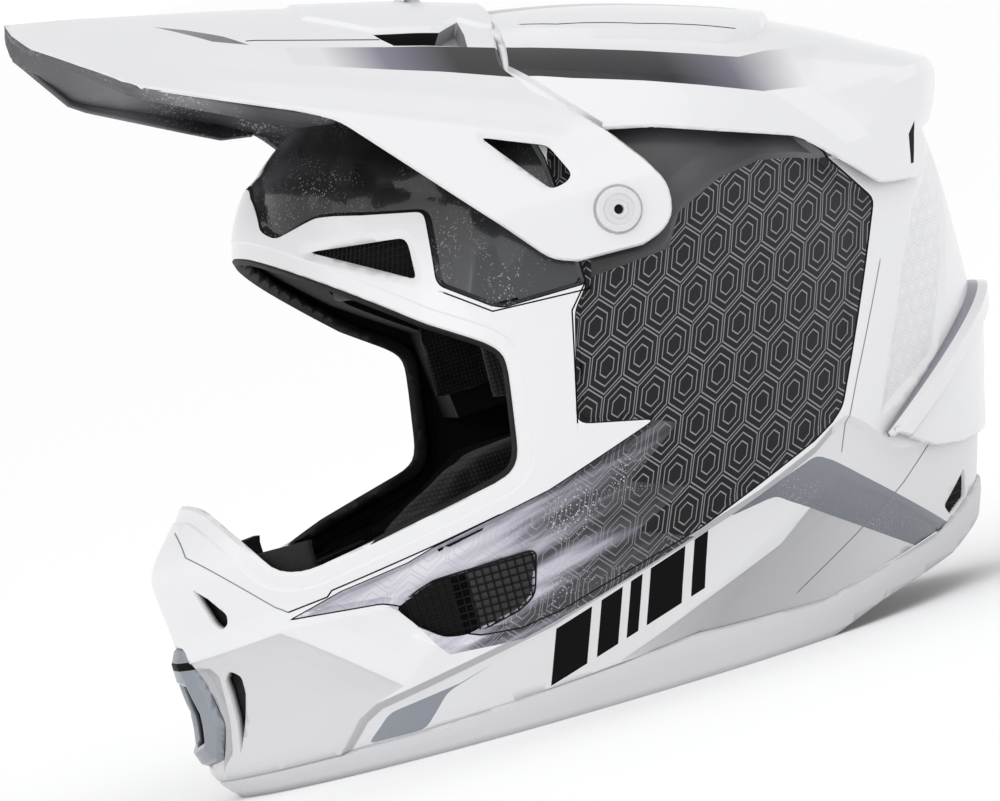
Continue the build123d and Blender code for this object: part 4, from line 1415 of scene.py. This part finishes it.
@dataclass(frozen=True)
class Crown:
    """Crown cover that runs back into a wing, and the cover on the lower rear."""

    face: float = 4.0
    lift: float = 4.5
    outline: Points = (
        (10, 290), (6, 247), (4.6, 244.2), (1, 237), (11.4, 222), (24, 207.5), (43.4, 203.1), (61, 196.9),
        (96.8, 184.4), (108.8, 173.4), (124, 158.5),
        (146, 155.5), (152, 160), (158, 173), (230, 173), (230, 290),
    )
    ridge: Points = ((14, 232), (67, 214), (94, 200), (104, 188), (111, 180), (126, 160))
    stripe: Points = (
        (-5, 248.5), (8.1, 244.1), (26.6, 238), (54.2, 228.8), (88.1, 216.5), (98.2, 215.7), (116, 212), (112, 199),
        (89.7, 202.1), (68.2, 210.6), (47.2, 218.3), (23, 226.5), (6.5, 232.7), (-5, 237),
    )
    hood: Points = (
        (-9, -4), (30, -4), (46, 7), (55, 25), (60, 41), (61.5, 62), (61.3, 86), (56, 94), (42.6, 101.6), (13, 110),
        (-9, 111),
    )
    vent_line: Points = ((44.5, 17), (50.5, 29.1), (54.1, 57.7), (53.6, 79.5), (54, 88.5))
    wing: Points = (
        (160, -2.0), (172, -2.0), (176, 1.5), (183, 8.0), (190.4, 15.0), (194.8, 17.0), (205, 9.5), (221.8, 6.0),
        (240, 3.0), (256, 0.0),
    )
    flange: Points = (
        (13.5, 290), (9, 247), (7.6, 244.2), (4.2, 237.8), (14.6, 223.9), (26.5, 209.2), (20, 200), (-30, 230),
        (-30, 290),
    )
    slit: Points = ((149, 176), (151.2, 172), (144.6, 161.5), (142.8, 161.5))
    rear: Points = ((98.6, 68.8), (163.5, 109.4), (190, 119), (190, 71), (152, 54), (134, 54), (119, 57))

    def wing_shift(self, places: np.ndarray) -> np.ndarray:
        """Pull the rear of the crown back into the wing.

        Args:
            places: One row of X, Y, Z for each place.

        Returns:
            The shift of each place.
        """
        heights, shifts = zip(*self.wing)
        reach = np.interp(places[:, 2], heights, shifts)
        sides = np.clip((82 - np.abs(places[:, 0])) / 44, 0, 1)
        behind = np.clip((places[:, 1] - 60) / 50, 0, 1)
        shift = np.zeros_like(places)
        shift[:, 1] = reach * sides * sides * (3 - 2 * sides) * behind
        return shift

    def build(self) -> None:
        """Make both covers."""
        hood = Outline(self.hood, View.TOP)
        edges = [Outline(((60, z), (200, z)), View.SIDE, False) for z in (176.0, 190.4, 194.8)]
        crown = shape_sheet(
            form_sheet(SHELL_FORM, self.face, 148.0, 256.0, (0.9, math.pi)), "crown_cover", SHELL_WHITE, "helmet",
            keep=[Outline(self.outline, reach=3.0)],
            reliefs=[
                Relief(hood, ((0.0, 0.0), (1.6, 3.4))),
                Relief(Outline(self.ridge, View.SIDE, False), ((-11.0, 0.0), (0.0, 1.2))),
                Relief(Outline(self.flange), ((0.0, 0.0), (0.5, -2.0))),
                Relief(Outline(self.outline, reach=3.0), ((0.0, -0.8), (0.8, 0.0))),
                *[Relief(edge, ((-0.5, 0.0), (0.0, 0.0))) for edge in edges],
            ],
            paints=[
                Paint(Outline(self.stripe), STRIPE_FADE),
                Paint(hood, SHELL_WHITE),
                # Painted shadow along the hood's vent line.
                Paint(Outline(self.vent_line, View.TOP, False), SEAL_BLACK_AND_PAINTED_SHADOW, -0.5),
                Paint(Outline(((-9, -9), (14, -9), (20, 40), (17, 100), (-9, 100)), View.TOP), TOP_GREY),
                # Painted shadow filling the slit, which is not cut.
                Paint(Outline(self.slit), SEAL_BLACK_AND_PAINTED_SHADOW),
                Paint(Outline(self.flange), SHELL_WHITE),
            ],
            lift=self.lift, wall=3.0, bend=self.wing_shift,
        )
        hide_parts("top_cover")
        rear = Outline(self.rear)
        top_edge = Outline(((98, 69), (163.5, 109.4), (190, 119)), View.SIDE, False)
        cover = shape_sheet(
            form_sheet(SHELL_FORM, self.face, 48.0, 122.0, (1.6, math.pi)), "rear_cover_lip", SHELL_WHITE, "helmet",
            keep=[rear],
            reliefs=[
                Relief(top_edge, ((-30.0, 0.0), (-9.0, 2.6), (-6.5, 5.6), (-1.4, 6.0), (0.0, -0.6))),
                Relief(rear, ((0.0, -1.2), (1.0, 0.0))),
            ],
            paints=[Paint(top_edge, EDGE_VIOLET, -8.6, -7.4), Paint(top_edge, EDGE_VIOLET, -0.7, 0.1)],
            lift=1.4, wall=2.6,
        )
        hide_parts("rear_cover")


@dataclass(frozen=True)
class Visor:
    """Visor peak with its two arms, dark underside lip and air inlets."""

    stations: tuple[tuple[float, float, float, float, float], ...] = (
        (-180, 313, 80, 295, 0.8), (-166, 310, 84, 284, 0.8), (-141, 305, 87, 276.6, 1.1), (-84, 292, 103, 250, 1.55),
        (-21, 276, 111, 223, 1.55), (12, 265.5, 112.5, 210, 1.55), (50, 254, 112.5, 206, 1.55),
    )
    front: float = -178.0
    run: float = 226.0
    bands: Points = ((0.0, 0.62), (0.62, 0.26), (0.88, 0.12))
    arm_x: float = 122.4
    flat_top: float = 188.5
    arm_foot: float = 160.0
    wall: float = 2.9
    side: Points = (
        (13, 340), (12.5, 262), (5, 249), (1.7, 242), (24, 213), (36, 195), (41.5, 183), (40, 172), (34, 166.5),
        (25.5, 164), (0, 165), (-9.6, 168.5), (-69.8, 241.5), (-84.4, 249.7), (-116.5, 264.6), (-140.8, 276.3),
        (-156, 276.3), (-230, 276.3), (-230, 340),
    )
    plan: Points = (
        (-9, -166.6), (10, -166.4), (30, -163.2), (60, -152), (84, -141), (89, -134), (140, -60), (140, 80), (-9, 80),
    )
    hole: Points = ((-20.6, 220), (3, 210), (7.9, 197.5), (5, 195), (-1.6, 194))
    arrow: Points = ((23, -115), (31, -105), (43, -93), (54, -86), (47, -98))
    inlet: Points = ((46, -38), (44, -13), (32, -3), (45, -4), (56, -6), (56, -33), (51, -36))
    scoop: Points = ((44, -13), (32, -3), (45, -4), (56, -6), (50, -20))
    stripe: Points = ((57, -74), (57, -35), (55.5, 7), (55.5, 40), (90, 40), (77.5, 6), (74.5, -40), (71.5, -74))
    raised: Points = ((-9, -60), (28, -60), (44, -38), (43, -13), (31, -3), (38, 4), (38, 40), (-9, 40))
    faces: tuple[int, int] = (62, 64)
    seat_radius: float = 9.6
    shank_radius: float = 3.1
    crease: Points = ((-103, 266), (-42.5, 243.8), (12, 221.5))
    rim: tuple[tuple[float, float, float], ...] = (
        (0.5, -166.4, 309), (10, -166.3, 305), (30, -163, 299.3), (45, -157.5, 294.3), (60, -152, 289),
        (84, -140.8, 278),
        (88.4, -134, 274), (98, -96.1, 256.2), (103, -83.7, 249.5), (104.8, -70.8, 243.4),
    )
    lip: tuple[float, ...] = (0.6, 0.8, 1.5, 2.4, 3.4, 4.4, 4.8, 6.6, 6.0, 2.0)
    lip_folds: Points = ((0.32, 0.2), (0.68, 3.6))
    lip_full: float = 9.0
    lip_wall: float = 2.0

    def section(self, u: np.ndarray, v: np.ndarray) -> np.ndarray:
        """Place the sheet: across the roof, then down the arm.

        Args:
            u: 0 at the middle, 1 at the foot of the arm.
            v: 0 at the front, 1 at the rear.

        Returns:
            One row of X, Y, Z for each place.
        """
        ys, *columns = (np.array(c, float) for c in zip(*self.stations))
        y = self.front + v * self.run
        top, half, shoulder, curve = (np.interp(y, ys, c) for c in columns)
        roof, leg, foot = (np.clip((u - start) / share, 0, 1) for start, share in self.bands)
        x = half * roof + (self.arm_x - half) * leg
        z = top - (top - shoulder) * roof**curve
        z = z + (self.flat_top - shoulder) * leg + (self.arm_foot - self.flat_top) * foot
        return np.stack([x, y, z], axis=1)

    def disc(self, radius: float, count: int = 20) -> Points:
        """Draw a circle around the pivot, seen from the side."""
        turns = [2 * math.pi * i / count for i in range(count)]
        return tuple((PIVOT[0] + radius * math.cos(t), PIVOT[1] + radius * math.sin(t)) for t in turns)

    def underside_lip(self) -> None:
        """Turn the edge of the roof down and in, as two dark flecked facets."""
        bm = bmesh.new()
        upper = [bm.verts.new((x - 0.4, y + (0.5 if y < -160 else 0), z - 1.2)) for x, y, z in self.rim]
        edges = [bm.edges.new(pair) for pair in zip(upper, upper[1:])]
        for share, inward in self.lip_folds:
            out = bmesh.ops.extrude_edge_only(bm, edges=edges)["geom"]
            edges = [g for g in out if isinstance(g, bmesh.types.BMEdge)]
            verts = sorted({v for e in edges for v in e.verts}, key=lambda v: (v.co.y, v.co.x))
            for vert, depth in zip(verts, self.lip):
                vert.co.z -= depth * share
                vert.co.x -= min(inward, vert.co.x) * depth / self.lip_full
        bmesh.ops.subdivide_edges(bm, edges=[e for e in bm.edges if e.calc_length() > 8], cuts=2, use_grid_fill=True)
        geometry = bm.verts[:] + bm.edges[:] + bm.faces[:]
        bmesh.ops.mirror(bm, geom=geometry, matrix=Matrix.Identity(4), merge_dist=0.003, axis="X")
        # The lip takes the flecked grey with painted shade towards the rear.
        lip = finish_mesh(bm, "visor_underside_lip", [VISOR_UNDER], "visor", sharp_degrees=14)
        if sum(p.normal.z for p in lip.data.polygons) >= 0:
            lip.data.flip_normals()
        thicken(lip, self.lip_wall)

    def build(self) -> None:
        """Make the visor and its lip."""
        sheet = Sheet(*self.faces)
        sheet.place(self.section(sheet.u, sheet.v))
        seat = Outline(self.disc(self.seat_radius))
        hole, top = Outline(self.hole, reach=2.4), View.TOP
        groove = Outline(((50, -86), (50.5, -38)), top, False, 230.0)
        crease = Outline(self.crease, View.SIDE, False)
        inlet = Outline(self.inlet, top, True, 236.0)
        edge = Outline(self.side, reach=5.0)
        visor = shape_sheet(
            sheet, "visor_peak", SHELL_WHITE, "visor",
            keep=[edge, Outline(self.plan, top)], holes=[hole, Outline(self.disc(self.shank_radius, 12))],
            reliefs=[
                Relief(hole, ((-2.6, 0.0), (0.0, -1.0))),
                Relief(seat, ((0.0, 0.0), (0.8, -0.7))),
                Relief(Outline(self.arrow, top, True, 240.0), ((0.0, 0.0), (2.5, -1.6))),
                Relief(inlet, ((0.0, 0.0), (1.2, -5.0))),
                Relief(Outline(self.raised, top, True, 236.0), ((0.0, 0.0), (2.0, 1.4))),
                Relief(crease, ((-6.5, 0.0), (0.0, 0.9))),
                Relief(edge, ((0.0, -0.9), (1.0, 0.0))),
                Relief(groove, ((-0.45, 0.0), (0.0, -0.8))),
            ],
            paints=[
                Paint(Outline(self.stripe, top, True, 226.0), STRIPE_FADE),
                Paint(Outline(self.arrow, top, True, 240.0), TOP_GREY),
                # Painted shadow inside the sunk inlet.
                Paint(inlet, SEAL_BLACK_AND_PAINTED_SHADOW),
                Paint(Outline(self.scoop, top, True, 236.0), TOP_GREY),
                # Painted shadow in the groove.
                Paint(groove, SEAL_BLACK_AND_PAINTED_SHADOW, -0.45),
            ],
            # The underside and edges take the flecked grey with painted shade under the peak.
            wall=self.wall, inside=VISOR_UNDER, rim=True,
        )
        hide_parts("visor")
        self.underside_lip()


@dataclass(frozen=True)
class Fixings:
    """Pivot screws of the visor and rivets of the strap, turned about their own axes.

    A profile lists radius and distance from the middle of the helmet. Faces within the socket's radius, in the head,
    take the second finish: painted shadow in the socket.
    """

    rivet: Point = (16.0, 107.0)
    socket_radius: float = 1.75
    head_from: float = 120.0
    screw_profile: Points = (
        (0.0, 123.2), (1.7, 123.2), (1.9, 124.5), (3.2, 124.8), (3.8, 124.2), (5.6, 124.2), (6.1, 125.0), (7.7, 125.15),
        (8.25, 124.9), (8.5, 124.2), (8.5, 122.5), (2.9, 122.5), (2.9, 102.0), (0.0, 102.0),
    )
    rivet_profile: Points = (
        (0.0, 108.9), (1.6, 109.0), (3.2, 109.5), (4.0, 110.4), (4.0, 110.9), (2.2, 110.9), (2.2, 115.6),
        (0.0, 115.6),
    )

    def turn(
        self, name: str, profile: Points, centre: Point, side: float, finishes: list[Finish], body: str,
    ) -> bpy.types.Object:
        """Spin a profile into a solid.

        Args:
            name: Name of the piece.
            profile: Its radii and distances.
            centre: Y and Z of its axis.
            side: 1 on the left, -1 on the right.
            finishes: Its finish, and that of its socket if it has one.
            body: Body that it moves with.

        Returns:
            The piece.
        """
        bm = bmesh.new()
        verts = [bm.verts.new((x, 0.0, r)) for r, x in profile]
        edges = [bm.edges.new(pair) for pair in zip(verts, verts[1:])]
        bmesh.ops.spin(
            bm, geom=verts + edges, cent=(0, 0, 0), axis=(1, 0, 0), angle=2 * math.pi, steps=48, use_merge=True,
            use_duplicate=False,
        )
        # The socket's faces take the second finish, painted shadow in the hollow.
        if len(finishes) > 1:
            for face in bm.faces:
                spot = face.calc_center_median()
                face.material_index = int(math.hypot(spot.y, spot.z) < self.socket_radius and spot.x > self.head_from)
        bmesh.ops.scale(bm, vec=(side, 1, 1), verts=bm.verts[:])
        bmesh.ops.translate(bm, vec=(0, *centre), verts=bm.verts[:])
        return finish_mesh(bm, name, finishes, body)

    def build(self) -> None:
        """Make both screws and both rivets."""
        for name, side in (("left", 1.0), ("right", -1.0)):
            screw = self.turn(
                f"pivot_screw_{name}", self.screw_profile, PIVOT, side, [SCREW_MILKY, SEAL_BLACK_AND_PAINTED_SHADOW], f"visor_screw_{name}"
            )
            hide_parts(f"visor_screw_{name}")
            rivet = self.turn(f"anchor_rivet_{name}", self.rivet_profile, self.rivet, side, [STEEL], "helmet")
            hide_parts(f"strap_rivet_{name}")


@dataclass(frozen=True)
class Hardware:
    """Small parts that keep their own shape and only take a finish."""

    finishes: tuple[tuple[str, Finish], ...]

    def build(self, nodes: dict[str, bpy.types.Object]) -> None:
        """Give every part whose name starts with a key its finish.

        Args:
            nodes: The frame's parts by name.
        """
        for name, node in nodes.items():
            for start, finish in self.finishes:
                if name.startswith(start):
                    node.data.materials.clear()
                    node.data.materials.append(finish.build())
                    LOG.info("%s: %s", name, finish.name)
                    break


@dataclass(frozen=True)
class Pad:
    """One padded piece of the lining.

    seams are open lines seen from the side where the cover is sewn down to the foam.
    """

    name: str
    node: str
    fill: float
    swell: float
    seams: tuple[Points, ...] = ()
    voxel: float = 4.5


# Seams that divide a cheek pad into cushions.
CHEEK_SEAMS: tuple[Points, ...] = (((-56, 20), (-30, 92)), ((-8, 14), (2, 98)), ((-70, 58), (58, 66)))


@dataclass(frozen=True)
class Lining:
    """Washable pads and the strap."""

    pads: tuple[Pad, ...] = (
        Pad(
            "crown_pad_quilted", "crown_pad", 0.6, 1.6,
            (((-40, 150), (130, 150)), ((10, 118), (10, 230)), ((66, 118), (66, 230))),
        ),
        Pad("brow_pad_quilted", "brow_pad", 0.6, 1.4),
        Pad("neck_roll_padded", "neck_roll", 0.7, 1.6, (((64, 30), (156, 50)),)),
        Pad("cheek_pad_left_padded", "cheek_pad_left", 0.7, 2.0, CHEEK_SEAMS),
        Pad("cheek_pad_right_padded", "cheek_pad_right", 0.7, 2.0, CHEEK_SEAMS),
        Pad("strap_pad_left_padded", "strap_pad_left", 0.5, 0.5, (), 1.6),
        Pad("strap_pad_right_padded", "strap_pad_right", 0.5, 0.5, (), 1.6),
    )
    straps: tuple[str, ...] = ("strap_root_left", "strap_root_right", "strap_left", "strap_right")
    frames: int = 20
    pressure: float = 4.0
    drawn_in: float = 0.8
    seam_depth: float = 1.8
    seam_half: float = 4.5
    seam_power: float = 1.5
    webbing_edge: float = 0.45

    def copy(self, node: bpy.types.Object) -> bmesh.types.BMesh:
        """Copy a part's mesh with its doubles merged."""
        bm = bmesh.new()
        bm.from_mesh(node.data)
        bmesh.ops.remove_doubles(bm, verts=bm.verts[:], dist=1e-5)
        return bm

    def inflate(self, piece: bpy.types.Object, cap: float) -> None:
        """Swell a closed form under pressure, no point moving further than the cap.

        Args:
            piece: The pad.
            cap: Greatest move in millimetres.
        """
        start = np.array([v.co[:] for v in piece.data.vertices])
        cloth = piece.modifiers.new("swell", "CLOTH")
        cloth.settings.use_pressure = True
        cloth.settings.uniform_pressure_force = self.pressure
        cloth.settings.effector_weights.gravity = 0
        cloth.point_cache.frame_start, cloth.point_cache.frame_end = 1, self.frames
        for frame in range(1, self.frames + 1):
            bpy.context.scene.frame_set(frame)
        swollen = piece.evaluated_get(bpy.context.evaluated_depsgraph_get()).to_mesh()
        moved = np.array([v.co[:] for v in swollen.vertices]) - start
        piece.to_mesh_clear()
        piece.modifiers.remove(cloth)
        bpy.context.scene.frame_set(1)
        length = np.linalg.norm(moved, axis=1, keepdims=True)
        moved *= np.minimum(1, cap * MM / np.maximum(length, TINY))
        for vert, place in zip(piece.data.vertices, start + moved):
            vert.co = place

    def make_pad(self, pad: Pad, node: bpy.types.Object) -> None:
        """Make one pad: rounded, drawn in, swollen and sewn down along its seams.

        Args:
            pad: What to make.
            node: Part that it stands for.
        """
        bm = self.copy(node)
        mesh = bpy.data.meshes.new(pad.name)
        bm.to_mesh(mesh)
        bm.free()
        piece = bpy.data.objects.new(pad.name, mesh)
        bpy.context.scene.collection.objects.link(piece)
        remesh = piece.modifiers.new("remesh", "REMESH")
        remesh.mode, remesh.voxel_size = "VOXEL", pad.voxel * MM
        bpy.context.view_layer.update()
        fine = bpy.data.meshes.new_from_object(piece.evaluated_get(bpy.context.evaluated_depsgraph_get()))
        piece.modifiers.clear()
        piece.data = fine
        bm = bmesh.new()
        bm.from_mesh(fine)
        for _ in range(3):
            bmesh.ops.smooth_vert(bm, verts=bm.verts[:], factor=0.5, use_axis_x=True, use_axis_y=True, use_axis_z=True)
        bm.normal_update()
        for vert in bm.verts:
            vert.co -= vert.normal * pad.swell * self.drawn_in * MM
        bm.to_mesh(fine)
        bm.free()
        self.inflate(piece, pad.swell)
        if pad.seams:
            bm = bmesh.new()
            bm.from_mesh(fine)
            bmesh.ops.subdivide_edges(bm, edges=bm.edges[:], cuts=1, use_grid_fill=True, smooth=1.0)
            bm.normal_update()
            places = places_of(bm.verts) / MM
            depth = np.zeros(len(places))
            for seam in pad.seams:
                gap = -Outline(seam, View.SIDE, False).distance(places)
                share = np.clip(1 - gap / self.seam_half, 0, 1)
                depth = np.maximum(depth, self.seam_depth * share**self.seam_power)
            for vert, sink in zip(bm.verts, depth):
                vert.co -= vert.normal * float(sink) * MM
            bm.to_mesh(fine)
            bm.free()
        else:
            smooth = piece.modifiers.new("smooth", "SUBSURF")
            smooth.levels = smooth.render_levels = 1
        for polygon in fine.polygons:
            polygon.use_smooth = True
        fine.materials.clear()
        fine.materials.append(LINING_KNIT.build())
        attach(piece, node["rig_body"])
        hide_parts(pad.node)
        LOG.info("%s: %d faces", pad.name, len(fine.polygons))

    def make_webbing(self, node: bpy.types.Object) -> None:
        """Round the edges of one length of webbing.

        Args:
            node: Part that it stands for.
        """
        bm = self.copy(node)
        bmesh.ops.scale(bm, vec=(1 / MM, 1 / MM, 1 / MM), verts=bm.verts[:])
        bmesh.ops.dissolve_limit(bm, angle_limit=math.radians(2), verts=bm.verts[:], edges=bm.edges[:])
        edges = [e for e in bm.edges if e.is_manifold and e.calc_face_angle(0.0) > math.radians(60)]
        bmesh.ops.bevel(
            bm, geom=edges, offset=self.webbing_edge, offset_type="OFFSET", segments=2, profile=0.5, affect="EDGES",
            material=-1,
            clamp_overlap=True,
        )
        piece = finish_mesh(bm, f"{node.name}_webbing", [WEBBING], node["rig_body"], recalculate=False)
        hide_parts(node.name)

    def build(self, nodes: dict[str, bpy.types.Object]) -> None:
        """Make every soft piece.

        Args:
            nodes: The frame's parts by name.
        """
        for pad in self.pads:
            self.make_pad(pad, nodes[pad.node])
        for name in self.straps:
            self.make_webbing(nodes[name])


def main() -> None:
    """Build the helmet piece by piece."""
    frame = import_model()
    studio = Studio()
    studio.aim()
    studio.build()
    Shell().build()
    Crown().build()
    Visor().build()
    Fixings().build()
    Lining().build(frame["nodes"])
    Hardware(HARDWARE_FINISHES).build(frame["nodes"])


if __name__ == "__main__":
    main()
